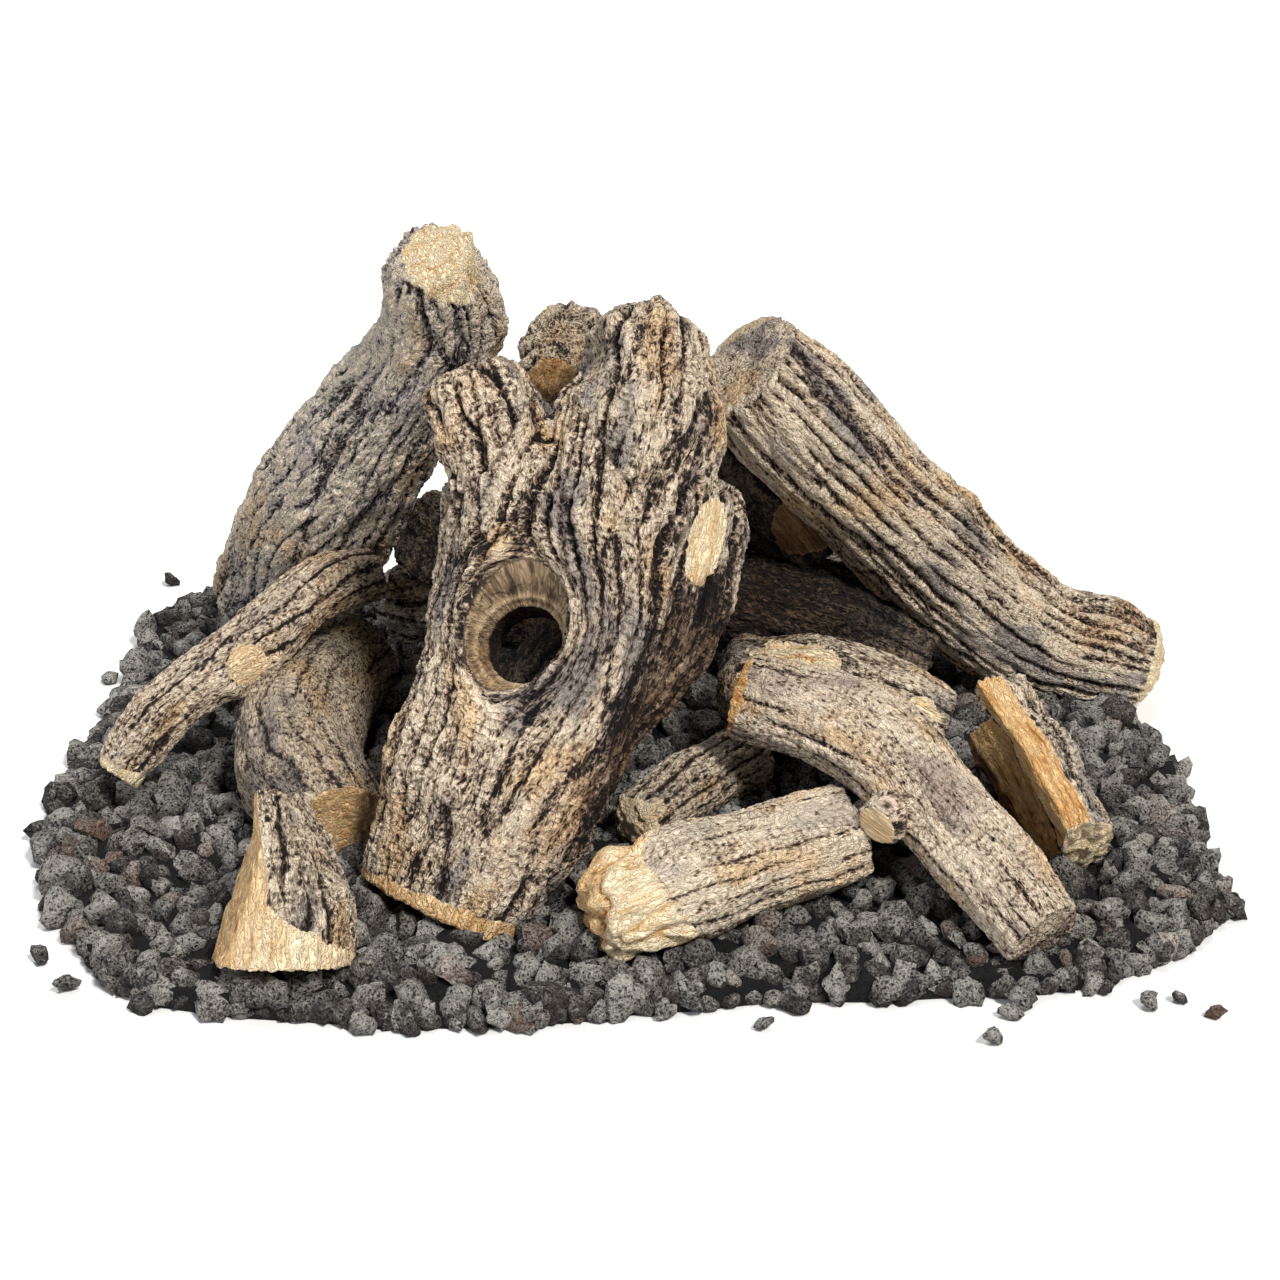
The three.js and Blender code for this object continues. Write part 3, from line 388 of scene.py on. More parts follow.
DASHES = Speckle(230.0, 560.0, 4.0, 0.62)
MOTTLES = Speckle(26.0, 48.0)
PATCHES = Speckle(40.0, 70.0, 2.0)
STAINS = Speckle(11.0, 24.0, 3.0)
RIPPLES = Speckle(125.0, 290.0, 3.0, 0.6)
SOOT_AND_SHADE_STREAKS = Speckle(14.0, 300.0, 4.0, 0.6)
WOOD_STREAKS = Speckle(26.0, 340.0, 6.0, 0.66)
WOOD_BLOTCHES = Speckle(30.0, 60.0, 3.0)
FRESH_WOOD = [
    (0.14, (0.16, 0.05, 0.012)),
    (0.3, (0.6, 0.3, 0.1)),
    (0.46, (0.87, 0.6, 0.31)),
    (0.7, (0.97, 0.83, 0.58)),
]
AMBER_WOOD = [
    (0.24, (0.06, 0.02, 0.006)),
    (0.4, (0.32, 0.125, 0.03)),
    (0.56, (0.66, 0.32, 0.09)),
    (0.8, (0.88, 0.58, 0.27)),
]
DULL_WOOD = [(0.24, (0.02, 0.011, 0.007)), (0.5, (0.1, 0.052, 0.025)), (0.85, (0.34, 0.2, 0.1))]


@dataclass(frozen=True)
class BarkFinish:
    """Stained ceramic bark, and the bare wood in it.

    Colours go from the crevices to the ridges, the dark end painting shade into the crevices; slate,
    tan and worn colours are multiplied over them, and a sooty colour over charring and painted
    shade. A fineness is along the grain and across it. A share says how much a mark counts.
    """

    name: str
    crevice: Colour = (0.013, 0.009, 0.008)
    shade: Colour = (0.09, 0.06, 0.045)
    body: Colour = (0.3, 0.215, 0.15)
    light: Colour = (0.59, 0.455, 0.325)
    pale: Colour = (0.88, 0.745, 0.57)
    stops: tuple[float, ...] = (0.12, 0.3, 0.47, 0.68, 0.95)
    slate: Colour = (0.32, 0.35, 0.47)
    slate_share: float = 0.75
    tan: Colour = (0.96, 0.8, 0.6)
    tan_share: float = 0.8
    worn: Colour = (0.74, 0.7, 0.58)
    worn_share: float = 0.9
    # Multiplied over real charring and over painted shade: deep in the pile, in the knot hole's tube
    # and on shadowed faces.
    soot_and_shade: Colour = (0.27, 0.21, 0.165)
    wave: Place = (60.0, 95.0, 95.0)
    wave_reach: float = 0.005
    dimple: Place = (150.0, 320.0, 320.0)
    thread: Place = (26.0, 150.0, 150.0)
    thread_width: float = 0.016
    rungs: float = 1100.0
    ring_lines: float = 2300.0
    relief_shade_share: float = 0.86
    crest_highlight_share: float = 0.55
    dash_share: float = 1.2
    mottle_share: float = 0.6
    dimpled: float = 0.34
    threaded: float = 0.42
    laddered: float = 0.2
    char_and_shade_share: float = 0.28
    lift: float = 0.06
    depth: float = 0.0044

    def wood(self, desk: ShaderDesk, grain: Signal) -> Signal:
        """The colour of bare wood.

        Args:
            desk: the material's desk.
            grain: the bark coordinates.

        Returns:
            The colour.
        """
        streak = desk.grained(grain, WOOD_STREAKS)
        blotch = desk.grained(grain, WOOD_BLOTCHES)
        rings = (desk.attribute("ring") * self.ring_lines + blotch * 7.0).maths("SINE")
        tone = streak * 1.5 + blotch * 0.5 - 0.31 + rings * 0.14 * desk.attribute("ringed")
        woods = (FRESH_WOOD, AMBER_WOOD, DULL_WOOD)
        fresh, amber, dull = (desk.ramp(tone, stops) for stops in woods)
        deep = desk.attribute("deep")
        middle = desk.mixed((deep * 2.0).clamped(), fresh, amber)
        return desk.mixed((deep * 2.0 - 1.0).clamped(), middle, dull)

    def lines(self, desk: ShaderDesk, vector: Signal, width: float) -> Signal:
        """Thin lines that wander and break off.

        Args:
            desk: the material's desk.
            vector: stretched coordinates.
            width: how wide the lines are, as a share of the noise's height.

        Returns:
            1 on a line, 0 beside it.
        """
        contour = (desk.noise(vector, 1.0, 2.0, 0.5) - 0.5).maths("ABSOLUTE")
        here = desk.noise(vector, 0.45, 2.0, 0.5).step(0.46, 0.54)
        return (1.0 - contour.step(width * 0.3, width)) * here

    def ladder(self, desk: ShaderDesk, grain: Signal, patch: Signal, mottle: Signal) -> Signal:
        """Short rungs across the grain.

        Args:
            desk: the material's desk.
            grain: the bark coordinates.
            patch: a noise that says where rungs are, and bends them.
            mottle: a noise that bends them.

        Returns:
            1 on a rung, 0 beside it.
        """
        settings = {"operation": "DOT_PRODUCT"}
        along = desk.node("ShaderNodeVectorMath", settings, [grain, (1.0, 0.0, 0.0)], "Value")
        wave = (along * self.rungs + patch * 20.0 + mottle * 13.0).maths("SINE")
        return wave.step(0.4, 0.95) * (1.0 - patch.step(0.47, 0.55))

    def stained(self, desk: ShaderDesk, grain: Signal, tone: Signal, calm: Signal) -> Signal:
        """The colour of the bark.

        Args:
            desk: the material's desk.
            grain: the bark coordinates.
            tone: how light the bark is.
            calm: 0 where the bark is worn, 1 elsewhere.

        Returns:
            The colour.
        """
        stain = desk.grained(grain, STAINS)
        colours = (self.crevice, self.shade, self.body, self.light, self.pale)
        bark = desk.ramp(tone, list(zip(self.stops, colours)))
        slate = stain.step(0.53, 0.62) * calm * self.slate_share
        bark = desk.mixed(slate, bark, self.slate, "MULTIPLY")
        tan = 1.0 - stain.step(0.36, 0.47)
        bark = desk.mixed(tan * self.tan_share, bark, self.tan, "MULTIPLY")
        return desk.mixed((1.0 - calm) * self.worn_share, bark, self.worn, "MULTIPLY")

    def make(self) -> bpy.types.Material:
        """Makes the material."""
        desk = ShaderDesk(self.name)
        grain = desk.attribute("grain", vector=True)
        wavy = desk.warped(grain, self.wave, self.wave_reach)
        calm = 1.0 - desk.attribute("calm")
        lively = calm * 0.6 + 0.4
        dash = desk.grained(wavy, DASHES)
        mottle = desk.grained(grain, MOTTLES)
        patch = desk.grained(grain, PATCHES)
        dimple = 1.0 - desk.pores(desk.stretched(wavy, self.dimple), 1.0).step(0.14, 0.36)
        dimple = dimple * patch.step(0.38, 0.5)
        thread = self.lines(desk, desk.stretched(wavy, self.thread), self.thread_width)
        ladder = self.ladder(desk, grain, patch, mottle) * dash.step(0.38, 0.5)
        ripple = desk.grained(wavy, RIPPLES)
        crest = 1.0 - ((ripple - 0.5).maths("ABSOLUTE") * 9.0).clamped()
        char = desk.attribute("char")
        # Painted highlight along the ripple crests.
        speckles = (
            (crest - 0.4) * self.crest_highlight_share
            + (dash - 0.5) * self.dash_share
            + (mottle - 0.5) * self.mottle_share
        )
        marks = dimple * self.dimpled + thread * self.threaded + ladder * self.laddered
        # Painted shade: the relief tone darkens the recesses.
        tone = desk.attribute("relief") * self.relief_shade_share + speckles * lively - marks * calm
        tone = tone - char * self.char_and_shade_share + self.lift
        bark = self.stained(desk, grain, tone, calm)
        bare = desk.attribute("bare")
        ragged = (bare + (dash - 0.5) * 0.5 * (bare * (1.0 - bare) * 4.0)).step(0.35, 0.65)
        colour = desk.mixed(ragged, bark, self.wood(desk, grain))
        # The sooty colour darkens real charring and painted shade alike.
        soot_and_shade = (char * (2.1 - desk.grained(grain, SOOT_AND_SHADE_STREAKS) * 2.2)).clamped()
        colour = desk.mixed(soot_and_shade, colour, self.soot_and_shade, "MULTIPLY")
        cuts = (dimple * 0.7 + thread * 0.8 + ladder * 0.7) * (1.0 - bare)
        height = (dash * 0.6 + crest * 0.5 - cuts) * lively
        return desk.finish(
            Base_Color=colour,
            Roughness=(0.9 - dash * 0.14),
            Normal=desk.bumped(height, self.depth),
            Specular_IOR_Level=0.3,
        )


@dataclass(frozen=True)
class StoneFinish:
    """Porous lava rock."""

    name: str
    dark: Colour = (0.011, 0.011, 0.012)
    grey: Colour = (0.07, 0.069, 0.066)
    light: Colour = (0.46, 0.445, 0.41)
    rust: Colour = (0.19, 0.105, 0.072)
    stops: tuple[float, float, float] = (0.02, 0.36, 0.85)
    warp: float = 180.0
    warp_reach: float = 0.004
    pit: float = 300.0
    small_pit: float = 690.0
    grit: float = 620.0
    cloud: float = 95.0
    depth: float = 0.0048

    def make(self) -> bpy.types.Material:
        """Makes the material."""
        desk = ShaderDesk(self.name)
        place = desk.warped(desk.place(), (self.warp,) * 3, self.warp_reach)
        large = desk.pores(place, self.pit).step(0.1, 0.42)
        small = desk.pores(place, self.small_pit).step(0.12, 0.45)
        grit = desk.noise(place, self.grit, 5.0, 0.7)
        cloud = desk.noise(place, self.cloud, 3.0)
        # This attribute carries painted light and shade as well as each granule's own tone.
        tone = desk.attribute("tint") * 0.72 + (grit - 0.5) * 1.5 + (cloud - 0.5) + 0.07
        # Painted shade in the pits: the colour darkens where the bump sinks.
        tone = tone - (1.0 - large) * 0.42 - (1.0 - small) * 0.26
        colour = desk.ramp(tone, list(zip(self.stops, (self.dark, self.grey, self.light))))
        rusty = desk.mixed(1.0, colour, self.rust, "SCREEN")
        colour = desk.mixed(desk.attribute("rust"), colour, rusty)
        height = large + small * 0.45 + grit * 0.8
        return desk.finish(
            Base_Color=colour,
            Roughness=0.93,
            Normal=desk.bumped(height, self.depth),
            Specular_IOR_Level=0.25,
        )


@dataclass(frozen=True)
class MetalFinish:
    """Metal with turning marks and a heat stain."""

    name: str
    colour: Colour
    stain: Colour
    roughness: float = 0.38
    metallic: float = 1.0
    stain_share: float = 0.35
    turning: Place = (900.0, 60.0, 900.0)
    blotch: float = 26.0

    def make(self) -> bpy.types.Material:
        """Makes the material."""
        desk = ShaderDesk(self.name)
        place = desk.place()
        marks = desk.noise(desk.stretched(place, self.turning), 1.0, 3.0)
        blotch = desk.noise(place, self.blotch)
        stained = blotch.step(0.42, 0.68) * self.stain_share
        return desk.finish(
            Base_Color=desk.mixed(stained, self.colour, self.stain),
            Metallic=self.metallic,
            Roughness=(marks * 0.18 + blotch * 0.16 + (self.roughness - 0.17)),
            Normal=desk.bumped(marks, 0.0003, 0.35),
        )


@dataclass(frozen=True)
class PlainFinish:
    """One even colour, for the floor."""

    name: str
    colour: Colour
    roughness: float = 0.9

    def make(self) -> bpy.types.Material:
        """Makes the material."""
        desk = ShaderDesk(self.name)
        return desk.finish(
            Base_Color=self.colour, Roughness=self.roughness, Specular_IOR_Level=0.1
        )


# Logs

SWAYS = (105.0, 75.0, 75.0)
BENDS = (26.0, 15.0, 15.0)
JITTERS = (7.0, 5.0, 5.0)
WOOD_FIBRES = (30.0, 3.6, 3.6)
WOOD_CHIPS = (12.0, 7.0, 7.0)
WOOD_KNOBS = (34.0, 15.0, 15.0)
WALL_FIBRES = (24.0, 4.6, 4.6)
END_GRAIN = (0.8, 0.97)
FACE_EDGE = (0.42, 0.7)
WORN_TONE = 0.6
WORN_CALM = 0.8
COLLAR_HEIGHT = 3.4
COLLAR_PLACE = 1.45
COLLAR_WIDTH = 0.26
CREASE = 0.13
FIRST_SEED = 101


@dataclass(frozen=True)
class Spine:
    """The centre line of a trunk or a limb, in millimetres."""

    places: tuple[Place, ...]
    radius: float
    start: float = 0.0


@dataclass(frozen=True)
class Bare:
    """A place on a log without bark, in millimetres."""

    wood: Wood
    reach: Reach
    centre: Place
    radius: float
    facing: Place = (0.0, 0.0, 1.0)
    length: float = 0.0
    ragged: float = 1.0
    lumps: float = 0.0


@dataclass(frozen=True)
class Swell:
    """A place where a log bulges or is drawn in, in millimetres."""

    centre: Place
    radius: float
    push: Place


@dataclass(frozen=True)
class Darkening:
    """How much each feature of a bark darkens it; for grooves, furrows, rib slopes and wrinkles this
    is painted shade in the recesses, and higher-standing ribs are lightened as painted light.
    """

    groove: float = 1.15
    furrow: float = 0.75
    slope: float = 0.3
    end: float = 0.3
    wrinkle: float = 0.42
    grit: float = 0.25
    flake: float = 0.2
    stand: float = 0.12


@dataclass(frozen=True)
class Bark:
    """The relief of a bark, in millimetres.

    A rib is as wide as given. A groove has its half width, its depth and the height of the rib
    beside it. Every other feature has its length, its width and its depth.
    """

    rib: float = 20.0
    groove: Place = (1.5, 4.0, 2.2)
    plate: Place = (24.0, 9.5, 1.1)
    wrinkle: Place = (6.0, 18.0, 0.9)
    grit: Place = (7.0, 4.0, 0.7)
    lump: Place = (42.0, 28.0, 2.0)
    furrow: Place = (230.0, 34.0, 0.0)
    sway: float = 0.9
    fading: float = 0.0
    cracking: float = 0.3
    ribbed_from: float = -999.0
    stand: float = 1.6
    darkening: Darkening = Darkening()

    def relief(
        self, grain: np.ndarray, radius: np.ndarray, end: np.ndarray, seed: int
    ) -> tuple[np.ndarray, np.ndarray]:
        """The height of the bark and how light it is.

        Args:
            grain: bark coordinates: along the log, and two across.
            radius: the radius of the trunk or limb there.
            end: how much each place faces along the log, where ribs and grooves fade out.
            seed: which noise of many.

        Returns:
            Heights in millimetres, and a tone from 0 in a crevice to 1 on a ridge, which paints
            shade into the recesses as well as giving the bark its own varied tone.
        """
        count = np.maximum(np.round(math.tau * radius / self.rib), 3)
        turn = np.arctan2(grain[:, 2], grain[:, 1]) / math.tau
        phase = turn * count + self.sway * swirl(grain / SWAYS, seed)
        phase += 0.2 * swirl(grain / BENDS, seed + 1) + 0.07 * swirl(grain / JITTERS, seed + 9)
        share = phase - np.floor(phase)
        crest = np.sin(math.pi * share)
        nearest = np.round(phase) % count
        own = np.floor(phase) % count
        blank = np.full(len(grain), seed * 1.37)
        run = grain[:, 0]
        fade = swirl(np.stack([run / 75, nearest * 3.17, blank], axis=1), seed)
        fade = smooth(fade, -0.35, 0.1 + self.fading) * (1 - end)
        fade *= 0.3 + 0.7 * smooth(run, self.ribbed_from - 40, self.ribbed_from + 25)
        stand = swirl(np.stack([run / 60, own * 2.71, blank], axis=1), seed + 2) * np.sqrt(crest)
        girth = math.tau * np.linalg.norm(grain[:, 1:], axis=1)
        apart = np.minimum(share, 1 - share) * girth / count
        grooves = np.exp(-((apart / self.groove[0]) ** 1.5)) * fade
        slopes = (1 - crest) ** 2 * (0.35 + 0.65 * fade) * (1 - end)

        def layer(size: tuple[float, ...], number: int) -> np.ndarray:
            """Noise of a length and a width, one of many by its number."""
            return swirl(grain / (size[0], size[1], size[1]) + number * 3.7, seed + number)

        bent = grain + 3.0 * layer((22.0, 15.0), 10)[:, None]
        border, flake = flakes(bent / (self.plate[0], self.plate[1], self.plate[1]), seed + 3)
        cracks = 1 - smooth(border, 0.02, 0.24)
        crossing = bent / (self.wrinkle[0], self.wrinkle[1], self.wrinkle[1])
        crossing[:, 0] += 1.6 * crest + 2.2 * layer((26.0, 9.0), 11)
        wrinkles = valley(swirl(crossing, seed + 4), 3.2) ** 1.4
        wrinkles = wrinkles * smooth(layer(self.lump, 5), -0.15, 0.3) * crest
        grit = 0.55 - 1.7 * np.abs(layer(self.grit, 6)) + 0.4 * layer(self.grit, 13)
        furrows = valley(layer(self.furrow, 12), 5.0) ** 1.3
        furrows = furrows * min(self.furrow[2], 1.0) * (1 - end)
        open_bark = 1 - 0.7 * grooves
        height = (
            self.groove[2] * (0.4 - slopes)
            - self.groove[1] * grooves
            - self.furrow[2] * furrows
            + self.stand * stand
            + self.plate[2] * ((flake - 0.5) * 0.8 - cracks) * open_bark
            - self.wrinkle[2] * wrinkles * open_bark
            + self.grit[2] * grit * open_bark
            + self.lump[2] * layer(self.lump, 7)
        )
        # Painted shade: grooves, furrows, rib slopes, wrinkles and cracks are darkened, and
        # higher-standing ribs lightened; grit and flakes vary the bark's own tone.
        by = self.darkening
        dark = by.groove * grooves + by.furrow * furrows + by.slope * slopes
        dark += self.cracking * cracks
        dark += by.end * end + by.wrinkle * wrinkles - by.grit * grit - by.flake * (flake - 0.5)
        return height, 1 - np.clip(dark - by.stand * stand, 0, 1)


RIBBED_BARK = Bark(
    rib=21.0,
    groove=(1.3, 5.4, 2.6),
    plate=(24.0, 8.5, 1.5),
    wrinkle=(5.5, 11.0, 1.5),
    grit=(9.0, 5.0, 1.4),
    lump=(34.0, 25.0, 2.8),
    furrow=(170.0, 22.0, 2.2),
    sway=0.7,
    fading=0.1,
    ribbed_from=225.0,
)
STRAIGHT_BARK = Bark(
    rib=13.0,
    groove=(1.3, 3.4, 1.8),
    plate=(24.0, 7.0, 1.5),
    wrinkle=(7.0, 9.0, 0.6),
    grit=(9.0, 4.6, 1.3),
    lump=(30.0, 22.0, 2.4),
    furrow=(260.0, 30.0, 3.2),
    fading=0.3,
    cracking=0.35,
)
LONG_BARK = Bark(
    rib=12.5,
    groove=(1.5, 4.2, 1.8),
    plate=(60.0, 8.0, 0.9),
    wrinkle=(9.0, 9.0, 0.4),
    grit=(16.0, 4.6, 0.9),
    lump=(60.0, 26.0, 2.4),
    furrow=(420.0, 22.0, 3.6),
    sway=0.6,
    cracking=0.25,
)
FINE_BARK = Bark(
    rib=12.0,
    groove=(1.1, 1.5, 0.9),
    plate=(15.0, 6.0, 0.9),
    wrinkle=(4.5, 8.0, 0.6),
    grit=(5.0, 3.6, 0.6),
    sway=0.8,
    fading=0.4,
)
SMOOTH_BARK = Bark(
    rib=24.0,
    groove=(1.2, 1.2, 0.8),
    plate=(12.0, 8.0, 0.7),
    wrinkle=(5.0, 12.0, 0.7),
    grit=(5.5, 4.0, 0.6),
    fading=0.5,
)
ROUGH_BARK = Bark(
    rib=17.0,
    groove=(1.6, 2.8, 1.8),
    plate=(13.0, 8.5, 1.5),
    grit=(6.0, 4.5, 1.1),
    lump=(22.0, 17.0, 3.2),
    fading=0.2,
)


@dataclass(frozen=True)
class KnotHole:
    """The hole through the front log, in millimetres.

    A tall funnel leads to a tube off its middle, which has two raised lips.
    """

    mouth: Place = (-84.6, -200.0, 206.0)
    facing: Place = (-0.263, -0.804, 0.533)
    upright: Place = (0.348, 0.431, 0.822)
    tube_place: Place = (-82.0, -206.0, 197.0)
    wide: float = 35.0
    high: float = 47.0
    depth: float = 24.0
    end: float = 86.0
    lips: tuple[float, float] = (28.0, 34.0)
    lip_width: float = 1.7

    def polar(self, points: np.ndarray, middle: Place) -> tuple[np.ndarray, np.ndarray, np.ndarray]:
        """Where places lie round a line that runs into the hole.

        Args:
            points: places in millimetres.
            middle: a point of the line.

        Returns:
            Depths into the hole, offsets from the line, and their lengths.
        """
        facing = unit(self.facing)
        depth = -((points - np.array(self.mouth)) @ facing)
        offset = points - np.array(middle)
        across = offset - (offset @ facing)[:, None] * facing
        return depth, across, np.linalg.norm(across, axis=1)

    def spread(self, points: np.ndarray) -> np.ndarray:
        """How far out places are from the mouth's middle, as a share of its half sizes."""
        _, across, distance = self.polar(points, self.mouth)
        rise = across @ unit(self.upright)
        aside = np.sqrt(np.clip(distance**2 - rise**2, 0, None))
        return np.hypot(aside / self.wide, rise / self.high)


DEPTHS = {
    Wood.SAWN: 0.2,
    Wood.TORN: 0.04,
    Wood.KNOT: 0.16,
    Wood.SPLIT: 0.38,
    Wood.AMBER: 0.5,
    Wood.DEEP: 0.78,
}
# The heart of the pile: bark inside this ellipsoid is darkened as painted shade, where the logs
# shade each other.
HEART_MIDDLE = (10.0, 35.0, 110.0)
HEART_SIZE = (200.0, 145.0, 125.0)


def vectors(items: Any, key: str) -> np.ndarray:
    """One vector of each vertex or normal of a mesh."""
    flat = np.empty(len(items) * 3, np.float32)
    items.foreach_get(key, flat)
    return flat.reshape(-1, 3).astype(float)


@dataclass
class Coat:
    """What a log's surface is like, one value a vertex."""

    height: np.ndarray
    relief: np.ndarray
    bare: np.ndarray
    deep: np.ndarray
    char: np.ndarray
    ring: np.ndarray
    ringed: np.ndarray
    calm: np.ndarray


@dataclass
class CastLog:
    """One cast log, made from its CAD solid."""

    node: str
    bark: Bark
    spines: tuple[Spine, ...]
    finish: str = "bark_oak"
    bares: tuple[Bare, ...] = ()
    swells: tuple[Swell, ...] = ()
    body: str = "base"
    slot: str = "log_ceramic"
    voxel: float = 2.0
    rounding: int = 9
    seed: int = 1
    knot_hole: KnotHole | None = None
    piece: bpy.types.Object | None = field(default=None, init=False)

    def shell(self, source: bpy.types.Object) -> bpy.types.Object:
        """A fine, even copy of the CAD solid.

        Args:
            source: the CAD node.

        Returns:
            The new piece, with small faces of one size.
        """
        mesh = source.data.copy()
        piece = bpy.data.objects.new(self.node + "_bark", mesh)
        bpy.context.scene.collection.objects.link(piece)
        bpy.ops.object.select_all(action="DESELECT")
        piece.select_set(True)
        bpy.context.view_layer.objects.active = piece
        bpy.ops.object.mode_set(mode="EDIT")
        bpy.ops.mesh.select_all(action="SELECT")
        bpy.ops.mesh.remove_doubles(threshold=0.00001)
        bpy.ops.object.mode_set(mode="OBJECT")
        remesh = piece.modifiers.new("even", "REMESH")
        remesh.mode = "VOXEL"
        remesh.voxel_size = self.voxel * MM * 1.0
        remesh.use_smooth_shade = True
        relax = piece.modifiers.new("relax", "SMOOTH")
        relax.factor = 0.5
        relax.iterations = self.rounding
        for modifier in ("even", "relax"):
            bpy.ops.object.modifier_apply(modifier=modifier)
        return piece

    def smooth_line(self, places: np.ndarray) -> np.ndarray:
        """A centre line with its corners cut three times over, so that it bends softly."""
        for _ in range(3 if len(places) > 2 else 0):
            first, second = places[:-1], places[1:]
            cut = np.stack([first * 0.75 + second * 0.25, first * 0.25 + second * 0.75], axis=1)
            places = np.concatenate([places[:1], cut.reshape(-1, 3)[1:-1], places[-1:]])
        return places

    def crosswise(self) -> tuple[np.ndarray, np.ndarray]:
        """Two directions across the trunk, at right angles."""
        trunk = unit(np.array(self.spines[0].places[-1]) - np.array(self.spines[0].places[0]))
        side = unit(np.cross(trunk, (0.0, 0.0, 1.0) if abs(trunk[2]) < 0.9 else (1.0, 0.0, 0.0)))
        return side, np.cross(trunk, side)

    def coordinates(self, points: np.ndarray) -> tuple[np.ndarray, np.ndarray, np.ndarray]:
        """Bark coordinates of places on the log.

        Args:
            points: places in millimetres.

        Returns:
            For each place how far along the log it is and its two offsets across it, the
            direction of the log there, and its radius.
        """
        nearest = np.full(len(points), np.inf)
        along = np.zeros(len(points))
        offsets = np.zeros_like(points)
        axes = np.zeros_like(points)
        radius = np.zeros(len(points))
        for spine in self.spines:
            places = self.smooth_line(np.array(spine.places, float))
            reached = spine.start
            last = len(places) - 2
            for number, (first, second) in enumerate(zip(places[:-1], places[1:])):
                run = second - first
                length = float(np.linalg.norm(run))
                share = ((points - first) @ run) / length**2
                held = np.clip(share, -99 if number == 0 else 0, 99 if number == last else 1)
                offset = points - first - held[:, None] * run
                beyond = np.clip(np.maximum(-share, share - 1), 0, None) * length
                distance = (np.linalg.norm(offset, axis=1) + 0.5 * beyond) / spine.radius
                closer = distance < nearest
                nearest[closer] = distance[closer]
                along[closer] = (reached + held * length)[closer]
                offsets[closer] = offset[closer]
                axes[closer] = run / length
                radius[closer] = spine.radius
                reached += length
        side, lift = self.crosswise()
        return np.stack([along, offsets @ side, offsets @ lift], axis=1), axes, radius

    def flow_round_hole(
        self, points: np.ndarray, grain: np.ndarray, axes: np.ndarray
    ) -> np.ndarray:
        """Bends the grain so that it runs round the knot hole.

        Args:
            points: places in millimetres.
            grain: bark coordinates.
            axes: directions of the log.

        Returns:
            The bent bark coordinates.
        """
        hole = self.knot_hole
        depth, across, distance = hole.polar(points, hole.mouth)
        sideways = unit(np.cross(hole.facing, axes.mean(axis=0)))
        reach = (hole.wide + hole.high) / 2
        near = np.clip(reach**2 / np.maximum(distance, reach) ** 2, 0, 1)
        shift = -(across @ sideways) * near
        shift *= 1 - smooth(depth, 20, 70)
        side, lift = self.crosswise()
        bent = grain.copy()
        bent[:, 1] += shift * (sideways @ side)
        bent[:, 2] += shift * (sideways @ lift)
        return bent

    def bare_share(self, bare: Bare, points: np.ndarray, normals: np.ndarray) -> np.ndarray:
        """How bare each place is.

        Args:
            bare: the bare place.
            points: places in millimetres.
            normals: the surface's normals there.

        Returns:
            A share from 0, all bark, to 1, all wood.
        """
        offset = points - np.array(bare.centre)
        facing = unit(bare.facing)
        coarse = swirl(points / 9.0, self.seed + 21)
        fine = swirl(points / 3.6, self.seed + 22)
        ragged = bare.ragged * (2.6 * coarse + 1.4 * fine)
        near = smooth(bare.radius - np.linalg.norm(offset, axis=1), 0, 3)
        if bare.reach is Reach.BEYOND:
            return smooth(offset @ facing + ragged, -1.0, 1.0) * near
        if bare.reach is Reach.FACE:
            share = smooth(normals @ facing, *FACE_EDGE)
            flat = np.abs(offset @ facing)
            return share * smooth(bare.length - flat + 0.5 * ragged, 0, 2) * near
        _, axis, _ = self.coordinates(np.array([bare.centre], float))
        along = offset @ axis[0]
        length = bare.length or bare.radius
        aside = (offset**2).sum(axis=1) - along**2
        apart = np.sqrt((along / length) ** 2 + aside / bare.radius**2)
        if bare.wood is Wood.CHAR_AND_SHADE:
            return smooth(1.35 - apart + ragged / bare.radius, 0, 0.7)
        share = smooth(1 - apart + ragged / bare.radius, -0.06, 0.06)
        return share * smooth(normals @ facing, -0.2, 0.2)

    def strip(
        self,
        coat: Coat,
        place: Bare,
        share: np.ndarray,
        points: np.ndarray,
        inner: np.ndarray,
        knob: np.ndarray,
    ) -> None:
        """Takes the bark off one bare place.

        Args:
            coat: the surface, changed here.
            place: the bare place.
            share: how bare each vertex is.
            points: places in millimetres.
            inner: the relief of the wood below.
            knob: how far each vertex is from a crease between torn lumps.
        """
        if place.wood is Wood.CHAR_AND_SHADE:
            coat.char = np.maximum(coat.char, share)
            return
        coat.height = coat.height * (1 - share) + inner * share
        if place.wood is Wood.WORN:
            coat.relief = coat.relief * (1 - share) + WORN_TONE * share
            coat.calm = np.maximum(coat.calm, WORN_CALM * share)
            return
        if place.wood is Wood.KNOT:
            apart = np.linalg.norm(points - np.array(place.centre), axis=1) / place.radius
            coat.height += COLLAR_HEIGHT * np.exp(-(((apart - COLLAR_PLACE) / COLLAR_WIDTH) ** 2))
            coat.ring = np.where(share > 0.01, apart * place.radius, coat.ring)
        if place.wood in (Wood.SAWN, Wood.KNOT):
            coat.ringed = np.maximum(coat.ringed, share)
        coat.bare = np.maximum(coat.bare, share)
        # Painted shade: the wood is darkened in the folds between torn lumps.
        crease_shade = 0.5 * (1 - smooth(knob, 0.0, CREASE)) * min(place.lumps / 4, 1)
        coat.deep = coat.deep * (1 - share) + (DEPTHS[place.wood] + crease_shade) * share

